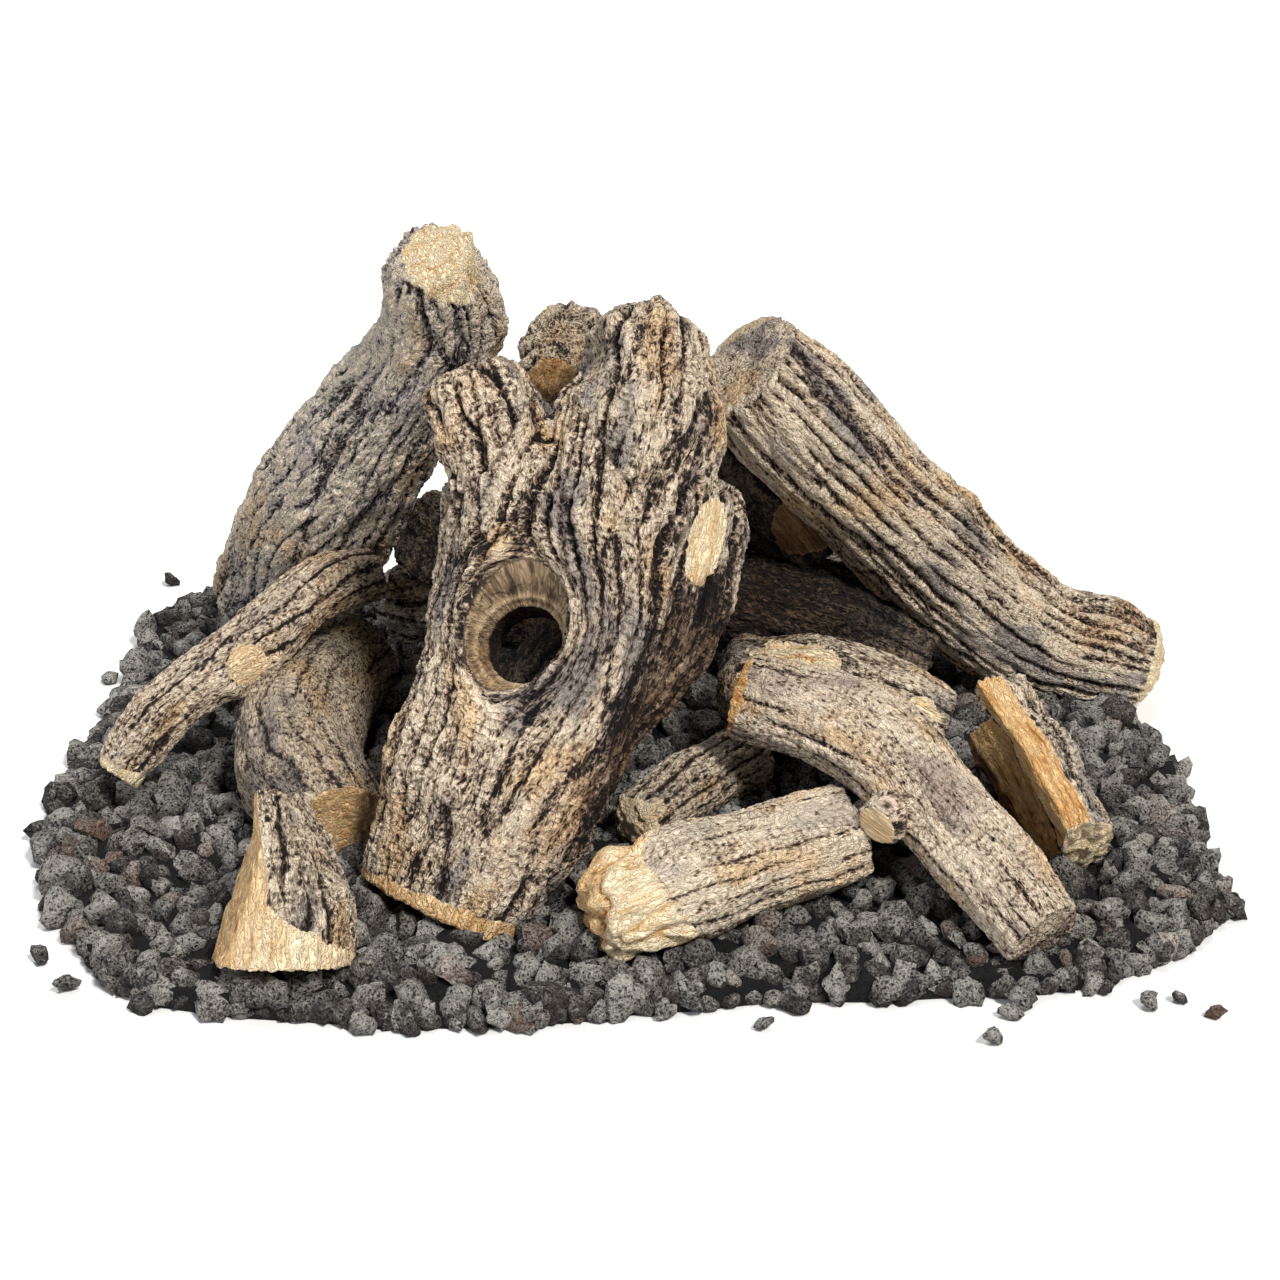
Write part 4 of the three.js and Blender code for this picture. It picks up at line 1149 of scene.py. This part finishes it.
    def carve(self) -> None:
        """Shapes the bark and stores what the finish reads."""
        mesh = self.piece.data
        points = vectors(mesh.vertices, "co") / MM
        normals = vectors(mesh.vertex_normals, "vector")
        for swell in self.swells:
            apart = np.linalg.norm(points - np.array(swell.centre), axis=1)
            points += smooth(1 - apart / swell.radius, 0, 1)[:, None] * np.array(swell.push)
        grain, axes, radius = self.coordinates(points)
        pattern = self.flow_round_hole(points, grain, axes) if self.knot_hole else grain
        end = smooth(np.abs((normals * axes).sum(axis=1)), *END_GRAIN)
        height, relief = self.bark.relief(pattern, radius, end, self.seed)
        blank = np.zeros(len(points))
        ring = np.linalg.norm(grain[:, 1:], axis=1)
        # Painted shade: bark inside the pile's heart is darkened through the same attribute as real
        # charring.
        inside = np.linalg.norm((points - HEART_MIDDLE) / np.array(HEART_SIZE), axis=1)
        char = 0.9 * smooth(1 - inside, -0.05, 0.33)
        coat = Coat(height, relief, blank, blank, char, ring, blank, blank)
        fibre = swirl(pattern / WOOD_FIBRES, self.seed + 31)
        chip = swirl(pattern / WOOD_CHIPS, self.seed + 32)
        knob = np.abs(swirl(pattern / WOOD_KNOBS, self.seed + 33))
        for place in self.bares:
            share = self.bare_share(place, points, normals)
            rough = 0.25 if place.wood in (Wood.SAWN, Wood.KNOT, Wood.WORN) else 1.0
            inner = rough * (1.3 * fibre + 1.1 * chip)
            inner = inner + place.lumps * (2.4 * knob - 0.7) - 0.6
            self.strip(coat, place, share, points, inner, knob)
        if self.knot_hole:
            self.line_hole(coat, points, normals, pattern)
        points += normals * coat.height[:, None]
        mesh.vertices.foreach_set("co", (points * MM).astype(np.float32).ravel())
        self.store("grain", pattern * MM)
        self.store("ring", coat.ring * MM)
        for name in ("relief", "bare", "deep", "char", "ringed", "calm"):
            self.store(name, getattr(coat, name))
        mesh.update()

    def line_hole(
        self, coat: Coat, points: np.ndarray, normals: np.ndarray, pattern: np.ndarray
    ) -> None:
        """Gives the knot hole its fibrous wall and its lip, with a painted highlight on the lip and
        painted shade that darkens the wall deeper in and makes the tube dark.

        Args:
            coat: the surface, changed here.
            points: places in millimetres.
            normals: the surface's normals there.
            pattern: bark coordinates, changed here so that the wall's fibres run into the hole.
        """
        hole = self.knot_hole
        depth, across, distance = hole.polar(points, hole.tube_place)
        inward = smooth(-(normals * across).sum(axis=1) / np.maximum(distance, 1), -0.1, 0.3)
        wall = inward * smooth(1.04 - hole.spread(points), 0, 0.12) * smooth(depth, -20, -9)
        wall *= 1 - smooth(depth, hole.end, hole.end + 6)
        aside = unit(np.cross(hole.upright, hole.facing))
        angle = np.arctan2(across @ unit(hole.upright), across @ aside)
        girth = 34 * np.cos(angle), 34 * np.sin(angle)
        inwards = np.stack([depth + 0.5 * distance, *girth], axis=1)
        pattern[wall > 0.5] = inwards[wall > 0.5]
        fibres = swirl(inwards / WALL_FIBRES, self.seed + 41)
        tube = wall * smooth(depth, hole.depth - 1, hole.depth + 4)
        band = smooth(depth, 8, 14) * (1 - smooth(depth, 27, 31))
        lip = band * sum(np.exp(-(((distance - far) / hole.lip_width) ** 2)) for far in hole.lips)
        height = 0.8 * fibres + 1.8 * lip - 3.5 * tube
        # Painted highlight on the lips, and painted shade deeper into the funnel.
        tone = 0.56 + 0.14 * fibres + 0.3 * lip - 0.1 * smooth(depth, 0, 20)
        coat.height = coat.height * (1 - wall) + wall * height
        coat.relief = coat.relief * (1 - wall) + wall * tone
        coat.calm = np.maximum(coat.calm, wall)
        # Painted shade: the tube is darkened through the same attribute as real charring.
        coat.char = np.maximum(coat.char * (1 - wall), tube * 0.85)

    def store(self, name: str, values: np.ndarray) -> None:
        """Stores a number or a vector on each vertex."""
        kind, key = ("FLOAT_VECTOR", "vector") if values.ndim == 2 else ("FLOAT", "value")
        attribute = self.piece.data.attributes.new(name, kind, "POINT")
        attribute.data.foreach_set(key, values.astype(np.float32).ravel())

    def build(self, frame: dict[str, Any], finishes: dict[str, bpy.types.Material]) -> None:
        """Makes the log, dresses it and joins it to its body."""
        self.piece = self.shell(frame["nodes"][self.node])
        self.carve()
        self.piece.data.materials.clear()
        self.piece.data.materials.append(finishes[self.finish])
        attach(self.piece, self.body)
        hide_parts(self.node)
        log.info("%s: %d faces", self.piece.name, len(self.piece.data.polygons))


def pile() -> list[CastLog]:
    """The logs of the pile, each with its own bark."""
    spot, face, beyond = Reach.SPOT, Reach.FACE, Reach.BEYOND
    logs = [
        CastLog(
            "front_hollow_log",
            RIBBED_BARK,
            (
                Spine(
                    ((-137, -263, 21), (-100, -231, 100), (-64, -186, 185), (-45, -137, 266)), 80
                ),
                Spine(((-72, -163, 211), (-91, -121, 287), (-114, -91, 336)), 40, 215),
                Spine(((-48, -173, 207), (-3, -117, 307), (7, -79, 367)), 58, 215),
                Spine(((-48, -212, 118), (6, -182, 188), (33, -142, 245), (37, -124, 269)), 39, 120),
            ),
            "bark_oak",
            (
                Bare(Wood.TORN, spot, (45, -174, 257), 13, (0.41, -0.75, 0.52), 34, 0.6),
                Bare(Wood.CHAR_AND_SHADE, spot, (41, -206, 200), 32, (0.5, -0.8, 0.2), 38, 3.4),
                Bare(Wood.CHAR_AND_SHADE, spot, (-8, -222, 128), 34, (0.5, -0.8, 0.2), 96, 3.4),
                Bare(Wood.SPLIT, beyond, (-141, -266, 37), 130, (-0.33, -0.4, -0.86), 0, 0.7),
            ),
            (
                Swell((-43, -100, 366), 34, (9, 0, -12)),
                Swell((13, -97, 394), 20, (0, 0, 9)),
                Swell((50, -100, 375), 26, (-7, 0, -7)),
                Swell((-93, -204, 202), 110, (13, 1, -1)),
            ),
            voxel=1.8,
            knot_hole=KnotHole(),
            body="front_hollow",
        ),
        CastLog(
            "left_tall_log",
            STRAIGHT_BARK,
            (
                Spine(
                    ((-294, 155, 67), (-251, 107, 151), (-213, 65, 224))
                    + ((-166, 27, 301), (-141, -1, 356), (-145, -35, 411)),
                    52,
                ),
            ),
            "bark_cool",
            (Bare(Wood.TORN, spot, (-132, -46, 414), 31, (0.2, -0.55, 0.8), 34, 1.2, 2.2),),
            (
                Swell((-205, 5, 330), 60, (9, 3, -4)),
                Swell((-172, -25, 420), 26, (5, 0, -6)),
                Swell((-104, -25, 350), 22, (8, 0, 2)),
                Swell((-102, -25, 400), 36, (-7, 0, 0)),
            ),
            voxel=1.8,
            body="left_tall",
        ),
        CastLog(
            "right_long_log",
            LONG_BARK,
            (
                Spine(
                    ((397, 105, 34), (299, 93, 67), (187, 53, 184), (107, 4, 285), (74, -12, 325)),
                    48,
                ),
            ),
            "bark_long",
            (
                Bare(Wood.TORN, beyond, (398, 93, 41), 60, (0.94, 0.12, -0.32), 0, 1.0, 1.2),
                Bare(Wood.WORN, beyond, (76, 8, 343), 60, (-0.45, 0.38, 0.81), 0, 0.5),
            ),
            (Swell((372, 92, 92), 50, (5, -3, 13)), Swell((250, 60, 190), 40, (5, 0, 5))),
            voxel=1.8,
            body="right_long",
        ),
        CastLog(
            "left_crooked_branch",
            FINE_BARK,
            (
                Spine(
                    ((-377, -115, 48), (-343, -90, 90), (-287, -39, 112))
                    + ((-246, 11, 135), (-205, 51, 134)),
                    23,
                ),
            ),
            "bark_fine",
            (
                Bare(Wood.KNOT, spot, (-284, -70, 115), 15.5, (0.3, -0.9, 0.3), 15.5, 0.5),
                Bare(Wood.TORN, beyond, (-372, -115, 56), 34, (-0.45, -0.4, -0.8), 0, 0.9),
            ),
            voxel=1.5,
            body="left_crooked",
        ),
        CastLog(
            "front_short_log",
            FINE_BARK,
            (Spine(((-22, -306, 45), (27, -282, 53), (143, -225, 61)), 38),),
            "bark_warm",
            (
                Bare(Wood.TORN, beyond, (18, -308, 62), 110, (-0.81, -0.24, -0.52), 0, 1.7, 4.6),
                Bare(Wood.SPLIT, face, (-22, -306, 45), 60, (-0.95, 0.1, 0.25), 60, 1.7, 4.6),
            ),
            voxel=1.5,
            body="front_short",
        ),
        CastLog(
            "right_forked_branch",
            FINE_BARK,
            (
                Spine(((74, -145, 126), (154, -185, 116), (214, -250, 77), (266, -319, 37)), 34),
                Spine(((184, -230, 93), (157, -261, 86)), 17, 110),
            ),
            "bark_mauve",
            (
                Bare(Wood.AMBER, beyond, (72, -172, 144), 60, (-0.96, 0.12, 0.26), 0, 0.9),
                Bare(Wood.SAWN, face, (155, -264, 85), 24, (-0.65, -0.74, -0.17), 9),
            ),
            slot="branch_ceramic",
            voxel=1.5,
            body="right_forked",
        ),
        CastLog(
            "right_trough_log",
            ROUGH_BARK,
            (Spine(((291, -222, 40), (266, -170, 71), (240, -116, 100)), 42),),
            "bark_grey",
            (
                Bare(Wood.AMBER, face, (266, -160, 60), 120, (-0.62, -0.5, 0.6), 60, 0.4, 1.0),
                # Painted shadow along the groove's lower left edge.
                Bare(Wood.CHAR_AND_SHADE, spot, (246, -143, 48), 13, length=60, ragged=1.4),
                Bare(Wood.TORN, face, (291, -222, 40), 70, (0.385, -0.8, -0.477), 12, 1.0, 2.6),
            ),
            voxel=1.6,
            rounding=4,
            body="right_trough",
        ),
        CastLog(
            "front_left_wedge",
            ROUGH_BARK,
            (Spine(((-236, -327, 20), (-235, -303, 70), (-234, -274, 118)), 46),),
            "bark_grey",
            (
                Bare(Wood.TORN, beyond, (-216, -343, 58), 110, (-0.52, -0.36, -0.78), 0, 1.2, 0.8),
                Bare(Wood.SPLIT, face, (-262, -300, 69), 90, (-0.91, -0.09, 0.41), 16, 0.4),
            ),
            swells=(
                Swell((-180, -282, 150), 112, (-34, 0, 0)),
                Swell((-188, -320, 62), 24, (6, 0, 0)),
            ),
            slot="split_ceramic",
            voxel=1.4,
            rounding=4,
            body="front_left",
        ),
        CastLog(
            "left_elbow_log",
            SMOOTH_BARK,
            (Spine(((-225, 60, 58), (-250, -61, 59), (-247, -124, 57), (-208, -190, 44)), 46),),
            "bark_smooth",
            (Bare(Wood.SPLIT, face, (-202, -190, 50), 46, (0.48, -0.87, -0.13), 12, 0.8, 0.8),),
        ),
        CastLog(
            "front_stub_log",
            FINE_BARK,
            (Spine(((-2, -198, 53), (36, -153, 60), (82, -108, 64)), 24),),
            "bark_grey",
            (Bare(Wood.TORN, face, (2, -205, 58), 23, (-0.3, -0.9, 0.25), 14, 1.4, 1.2),),
            voxel=1.6,
        ),
        CastLog(
            "right_base_log",
            SMOOTH_BARK,
            (Spine(((69, -70, 100), (146, -80, 93), (215, -91, 66)), 39),),
            "bark_grey",
            (
                Bare(Wood.TORN, spot, (112, -91, 131), 15, (-0.1, -0.5, 0.8), 30, 1.4, 3.4),
                Bare(Wood.TORN, spot, (203, -113, 99), 10, (0.3, -0.7, 0.6), 12, 0.8),
            ),
        ),
        CastLog(
            "rear_diagonal_log",
            ROUGH_BARK,
            (Spine(((0, 70, 146), (71, 45, 119), (137, 47, 102), (212, 52, 60)), 40),),
            "bark_dark",
        ),
        CastLog(
            "rear_cross_log",
            ROUGH_BARK,
            (Spine(((126, 75, 156), (89, 63, 209), (48, 50, 258)), 44),),
            "bark_dark",
            (Bare(Wood.DEEP, spot, (123, 28, 184), 24, (0.4, -0.85, 0.1), 26),),
            (Swell((132, 30, 170), 48, (21, 0, -11)),),
        ),
        CastLog(
            "rear_left_stub_log",
            ROUGH_BARK,
            (Spine(((-165, 80, 150), (-150, 180, 110), (-142, 269, 65)), 35),),
            "bark_dark",
        ),
        CastLog(
            "back_split_log",
            ROUGH_BARK,
            (Spine(((10, 240, 35), (-28, 119, 211), (-53, -14, 336)), 35),),
            "bark_oak",
            (
                Bare(Wood.DEEP, spot, (-64, -38, 312), 24, (-0.36, -0.93, 0.1), 26, 1.6),
                Bare(Wood.CHAR_AND_SHADE, spot, (-58, -34, 294), 17, (-0.36, -0.93, 0.1), 17),
            ),
        ),
        CastLog(
            "rear_left_base_log",
            ROUGH_BARK,
            (Spine(((-190, 150, 72), (-129, 128, 73), (-69, 106, 72)), 39),),
            "bark_grey",
        ),
        CastLog(
            "centre_log",
            ROUGH_BARK,
            (Spine(((-85, -165, 78), (-47, 0, 84), (-21, 111, 88)), 41),),
            "bark_dark",
        ),
        CastLog(
            "rear_right_log",
            STRAIGHT_BARK,
            (Spine(((60, 138, 71), (147, 145, 73), (235, 141, 68)), 38),),
            "bark_grey",
        ),
    ]
    for seed, member in enumerate(logs, FIRST_SEED):
        member.seed = seed
    return logs


def bark_finishes() -> list[BarkFinish]:
    """The stains that the logs come in, and a darkened copy that paints shade on the logs deep in
    the pile.
    """
    return [
        BarkFinish("bark_oak"),
        BarkFinish(
            "bark_long", thread=(16.0, 130.0, 130.0), dimpled=0.12, laddered=0.1, lift=0.25
        ),
        BarkFinish(
            "bark_cool",
            shade=(0.085, 0.07, 0.065),
            body=(0.275, 0.24, 0.22),
            light=(0.57, 0.52, 0.475),
            slate=(0.5, 0.53, 0.68),
            slate_share=0.5,
            dimpled=0.24,
            laddered=0.08,
            lift=0.26,
        ),
        BarkFinish("bark_warm", slate_share=0.3, laddered=0.12, lift=0.33),
        BarkFinish("bark_fine", slate_share=0.4, laddered=0.12, lift=0.02),
        BarkFinish("bark_mauve", slate=(0.5, 0.46, 0.52), laddered=0.08, lift=0.16),
        BarkFinish(
            "bark_smooth",
            body=(0.2, 0.15, 0.11),
            light=(0.4, 0.31, 0.22),
            pale=(0.64, 0.53, 0.39),
        ),
        BarkFinish(
            "bark_grey",
            body=(0.22, 0.165, 0.12),
            light=(0.46, 0.36, 0.26),
            slate_share=0.65,
            dimple=(88.0, 180.0, 180.0),
            dimpled=0.5,
            laddered=0.1,
        ),
        # A darkened copy of the bark: painted shade for the logs deep in the pile.
        BarkFinish(
            "bark_dark",
            shade=(0.02, 0.015, 0.013),
            body=(0.06, 0.045, 0.033),
            light=(0.15, 0.115, 0.08),
            pale=(0.31, 0.24, 0.16),
        ),
    ]


# Lava rock


@dataclass
class LavaBed:
    """The granules heaped over the bed's CAD mound, in millimetres."""

    pitch: float = 14.5
    reach: float = 500.0
    radius_low: float = 7.6
    radius_high: float = 13.4
    large_share: float = 0.12
    large_factor: float = 1.4
    shapes: int = 16
    log_room: float = 0.2
    jitter: float = 0.48
    sink: tuple[float, float] = (-0.45, 0.35)
    spill_share: float = 0.6
    spill_reach: float = 6.0
    breadth: tuple[float, float] = (0.8, 1.1)
    thickness: tuple[float, float] = (0.65, 0.95)
    rusty_share: float = 0.07
    middle_from: float = -150.0
    rear_from: float = 90.0
    seed: int = 7
    strays: tuple[Place, ...] = (
        (-408, 332, 8),
        (-429, 137, 7),
        (-403, -293, 8),
        (-377, -328, 8),
        (225, -391, 8),
        (240, -361, 8),
        (80, -373, 6),
        (306, -331, 7),
        (333, -347, 8),
        (353, -343, 6),
        (372, -361, 7),
    )

    def granule_shapes(self, rng: np.random.Generator) -> tuple[list[np.ndarray], np.ndarray]:
        """A few angular granules.

        Args:
            rng: where the shapes are drawn from.

        Returns:
            The corners of each shape, about 1 from its middle, and the faces that all share.
        """
        bpy.ops.object.select_all(action="DESELECT")
        bpy.ops.mesh.primitive_ico_sphere_add(subdivisions=2, radius=1.0)
        ball = bpy.context.object
        corners = np.array([vertex.co for vertex in ball.data.vertices])
        faces = np.array([polygon.vertices for polygon in ball.data.polygons])
        bpy.data.objects.remove(ball)
        shapes = []
        for number in range(self.shapes):
            shape = corners * (1 + 0.42 * swirl(corners * 1.4 + number * 5.1, number))[:, None]
            for _ in range(7):
                facing = unit(rng.normal(size=3))
                beyond = np.clip(shape @ facing - rng.uniform(0.5, 0.85), 0, None)
                shape = shape - beyond[:, None] * facing * 0.9
            shape += 0.07 * rng.normal(size=shape.shape)
            shapes.append(shape)
        return shapes, faces

    def surface_height(self, bed: BVHTree, x: float, y: float) -> float | None:
        """The height of the CAD mound at a place, or None beside it."""
        hit = bed.ray_cast(Vector((x * MM, y * MM, 1.0)), Vector((0, 0, -1)))[0]
        return hit.z / MM if hit else None

    def places(self, frame: dict[str, Any], rng: np.random.Generator) -> list[tuple[float, ...]]:
        """Where granules lie.

        Args:
            frame: the CAD frame.
            rng: where the scatter is drawn from.

        Returns:
            For each granule its middle and its radius.
        """
        bed = tree_of(frame["nodes"]["lava_bed"])
        ends = ("_log", "_branch", "_wedge")
        logs = [tree_of(node) for name, node in frame["nodes"].items() if name.endswith(ends)]
        found: list[tuple[float, ...]] = []
        steps = np.arange(-self.reach, self.reach, self.pitch)
        for row, x0 in enumerate(steps):
            for y0 in steps:
                x = x0 + rng.uniform(-self.jitter, self.jitter) * self.pitch
                y = y0 + (row % 2) * self.pitch / 2
                y += rng.uniform(-self.jitter, self.jitter) * self.pitch
                radius = rng.uniform(self.radius_low, self.radius_high)
                if rng.random() < self.large_share:
                    radius *= self.large_factor
                height = self.surface_height(bed, x, y)
                if height is None:
                    near = bed.find_nearest(Vector((x * MM, y * MM, 0.006)))[3] / MM
                    spill = self.spill_share * math.exp(-((near / self.spill_reach) ** 2))
                    if rng.random() > spill:
                        continue
                    height = radius * 0.1
                height += radius * rng.uniform(*self.sink)
                middle = (x, y, max(height, radius * 0.5))
                if self.clear_of(logs, middle, radius):
                    found.append((*middle, radius))
        found += self.rim(bed, rng)
        for x, y, radius in self.strays:
            found.append((x, y, radius * 0.65, radius))
        return found

    def rim(self, bed: BVHTree, rng: np.random.Generator) -> list[tuple[float, ...]]:
        """A row of granules along the foot of the mound."""
        row = []
        angle = 0.0
        while angle < math.tau:
            aim = np.array([math.cos(angle), math.sin(angle)])
            far = self.reach
            while self.surface_height(bed, *(aim * far)) is None:
                far -= 2.0
            radius = rng.uniform(self.radius_low, self.radius_high)
            x, y = aim * (far + rng.uniform(-6.0, 2.0))
            row.append((x, y, radius * rng.uniform(0.45, 0.7), radius))
            angle += rng.uniform(0.8, 1.2) * self.pitch * 0.9 / far
        return row

    def clear_of(self, logs: list[BVHTree], middle: Place, radius: float) -> bool:
        """Whether a granule stands clear enough of every log."""
        point = Vector(middle) * MM
        for tree in logs:
            hit, normal, _, distance = tree.find_nearest(point, 0.06)
            if hit is None:
                continue
            inside = (point - hit).dot(normal) < 0
            if inside or distance < radius * self.log_room * MM:
                return False
        return True

    def build(self, frame: dict[str, Any], finish: bpy.types.Material) -> None:
        """Heaps the granules, in a front, a middle and a rear piece."""
        rng = np.random.default_rng(self.seed)
        shapes, faces = self.granule_shapes(rng)
        middles = self.places(frame, rng)
        heaps: dict[str, list[tuple[float, ...]]] = {"front": [], "middle": [], "rear": []}
        for middle in middles:
            behind = middle[1] >= self.rear_from
            front = middle[1] < self.middle_from
            heaps["front" if front else "rear" if behind else "middle"].append(middle)
        for name, members in heaps.items():
            self.heap(name, members, shapes, faces, rng, finish)
        # Painted shade: the mound under the granules is near black, so the gaps between them read
        # dark.
        core = StoneFinish("lava_gap_shade", grey=(0.012, 0.012, 0.012), light=(0.04, 0.04, 0.038))
        frame["nodes"]["lava_bed"].data.materials.clear()
        frame["nodes"]["lava_bed"].data.materials.append(core.make())

    def heap(
        self,
        name: str,
        members: list[tuple[float, ...]],
        shapes: list[np.ndarray],
        faces: np.ndarray,
        rng: np.random.Generator,
        finish: bpy.types.Material,
    ) -> None:
        """Makes one piece of many granules.

        Args:
            name: which part of the bed it is.
            members: the granules' middles and radii.
            shapes: the granules' shapes.
            faces: the faces that all shapes share.
            rng: where turns and tints are drawn from.
            finish: the material.
        """
        corners, polygons, tints_and_shades, rusts = [], [], [], []
        for number, (x, y, z, radius) in enumerate(members):
            shape = shapes[rng.integers(len(shapes))]
            shape = shape * (1.15, rng.uniform(*self.breadth), rng.uniform(*self.thickness))
            turn, _ = np.linalg.qr(rng.normal(size=(3, 3)))
            turn *= np.sign(np.linalg.det(turn))
            placed = shape @ turn.T * radius + (x, y, z)
            placed[:, 2] = np.maximum(placed[:, 2], 0.2)
            corners.append(placed * MM)
            polygons.append(faces + number * len(shape))
            # Each granule's own tone at random, plus painted light and shade: lighter on top, darker
            # underneath.
            tints_and_shades.append(0.7 * rng.random() + 0.15 + 0.3 * (placed[:, 2] - z) / radius)
            rusty = rng.random() < self.rusty_share
            rusts.append(np.full(len(shape), rng.uniform(*((0.4, 0.8) if rusty else (0, 0.14)))))
        mesh = bpy.data.meshes.new("lava_granules_" + name)
        mesh.from_pydata(np.concatenate(corners).tolist(), [], np.concatenate(polygons).tolist())
        for key, values in {"tint": tints_and_shades, "rust": rusts}.items():
            attribute = mesh.attributes.new(key, "FLOAT", "POINT")
            attribute.data.foreach_set("value", np.concatenate(values).astype(np.float32))
        piece = bpy.data.objects.new(mesh.name, mesh)
        bpy.context.scene.collection.objects.link(piece)
        bpy.ops.object.select_all(action="DESELECT")
        piece.select_set(True)
        bpy.context.view_layer.objects.active = piece
        bpy.ops.object.shade_smooth_by_angle(angle=math.radians(48))
        mesh.materials.append(finish)
        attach(piece, "base")
        log.info("%s: %d granules, %d faces", piece.name, len(members), len(mesh.polygons))


def tree_of(node: bpy.types.Object) -> BVHTree:
    """A search tree of a mesh."""
    vertices = [vertex.co.copy() for vertex in node.data.vertices]
    return BVHTree.FromPolygons(vertices, [polygon.vertices[:] for polygon in node.data.polygons])


# Burner


@dataclass
class Burner:
    """The pan burner and its gas train, whose CAD shapes stay."""

    steel: tuple[str, ...] = (
        "burner_pan",
        "burner_ring",
        "burner_hub",
        "feed_tube",
        "burner_spoke_left",
        "burner_spoke_right",
        "ring_cradle_1",
        "ring_cradle_2",
        "ring_cradle_3",
        "ring_cradle_4",
        "air_shutter",
    )
    brass: tuple[str, ...] = (
        "mixer_tube",
        "shutter_screw",
        "orifice_fitting",
        "valve_body",
        "inlet_fitting",
    )
    painted: tuple[str, ...] = ("valve_key",)

    def dress(self, frame: dict[str, Any]) -> None:
        """Gives each node its metal."""
        steel = MetalFinish("burner_steel", (0.52, 0.52, 0.53), (0.2, 0.13, 0.09)).make()
        brass = MetalFinish("fitting_brass", (0.72, 0.5, 0.2), (0.36, 0.22, 0.09), 0.3).make()
        paint = MetalFinish(
            "key_paint", (0.012, 0.012, 0.014), (0.03, 0.028, 0.026), 0.45, 0.0
        ).make()
        for names, finish in ((self.steel, steel), (self.brass, brass), (self.painted, paint)):
            for name in names:
                mesh = frame["nodes"][name].data
                mesh.materials.clear()
                mesh.materials.append(finish)
                log.info("%s: dressed", name)


# Studio


@dataclass(frozen=True)
class Sun:
    """A far soft light: which way it lies from the pile, the degrees it spans, and its strength."""

    name: str
    place: Place
    softness: float
    power: float
    colour: Colour = (1.0, 1.0, 1.0)

    def build(self) -> None:
        """Adds the light, turned to the pile."""
        lamp = bpy.data.lights.new(self.name, "SUN")
        lamp.angle = math.radians(self.softness)
        lamp.energy = self.power
        lamp.color = self.colour
        holder = bpy.data.objects.new(self.name, lamp)
        holder.location = self.place
        holder.rotation_euler = Vector(self.place).to_track_quat("Z", "Y").to_euler()
        bpy.context.scene.collection.objects.link(holder)


@dataclass
class Studio:
    """A pale floor, soft light, and the camera at the photograph's view."""

    floor_size: float = 16.0
    floor_height: float = -0.0004
    floor_colour: Colour = (0.86, 0.86, 0.86)
    eye: Place = (0.0, -1.9032, 0.9895)
    target: Place = (0.0, 0.0, 0.102)
    lens: float = 78.75
    world_strength: float = 0.14
    suns: tuple[Sun, ...] = (
        Sun("key", (0.9, -1.3, 1.9), 13.0, 3.75, (1.0, 0.97, 0.92)),
        Sun("fill", (-1.6, -1.2, 1.0), 40.0, 1.0, (0.88, 0.93, 1.0)),
        Sun("top", (-0.2, 0.6, 2.0), 30.0, 1.45),
    )

    def build(self) -> None:
        """Sets the floor, the lights, the world and the camera."""
        scene = bpy.context.scene
        bpy.ops.object.select_all(action="DESELECT")
        bpy.ops.mesh.primitive_plane_add(size=self.floor_size, location=(0, 0, self.floor_height))
        floor = bpy.context.object
        floor.name = "floor"
        floor.data.materials.append(PlainFinish("pale_floor", self.floor_colour).make())
        for sun in self.suns:
            sun.build()
        scene.world = bpy.data.worlds.new("studio")
        scene.world.use_nodes = True
        sky = scene.world.node_tree.nodes["Background"]
        sky.inputs["Color"].default_value = (1, 1, 1, 1)
        sky.inputs["Strength"].default_value = self.world_strength
        scene.view_settings.view_transform = "Standard"
        camera = bpy.data.cameras.new("camera")
        camera.lens = self.lens
        camera.sensor_width = 36.0
        camera.clip_end = 100.0
        holder = bpy.data.objects.new("camera", camera)
        gaze = Vector(self.target) - Vector(self.eye)
        holder.location = self.eye
        holder.rotation_euler = gaze.to_track_quat("-Z", "Y").to_euler()
        scene.collection.objects.link(holder)
        scene.camera = holder


def main() -> None:
    """Builds the looks round the CAD frame."""
    logging.basicConfig(level=logging.INFO, format="%(message)s")
    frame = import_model()
    finishes = {finish.name: finish.make() for finish in bark_finishes()}
    for member in pile():
        member.build(frame, finishes)
    LavaBed().build(frame, StoneFinish("lava_rock").make())
    Burner().dress(frame)
    Studio().build()


if __name__ == "__main__":
    main()
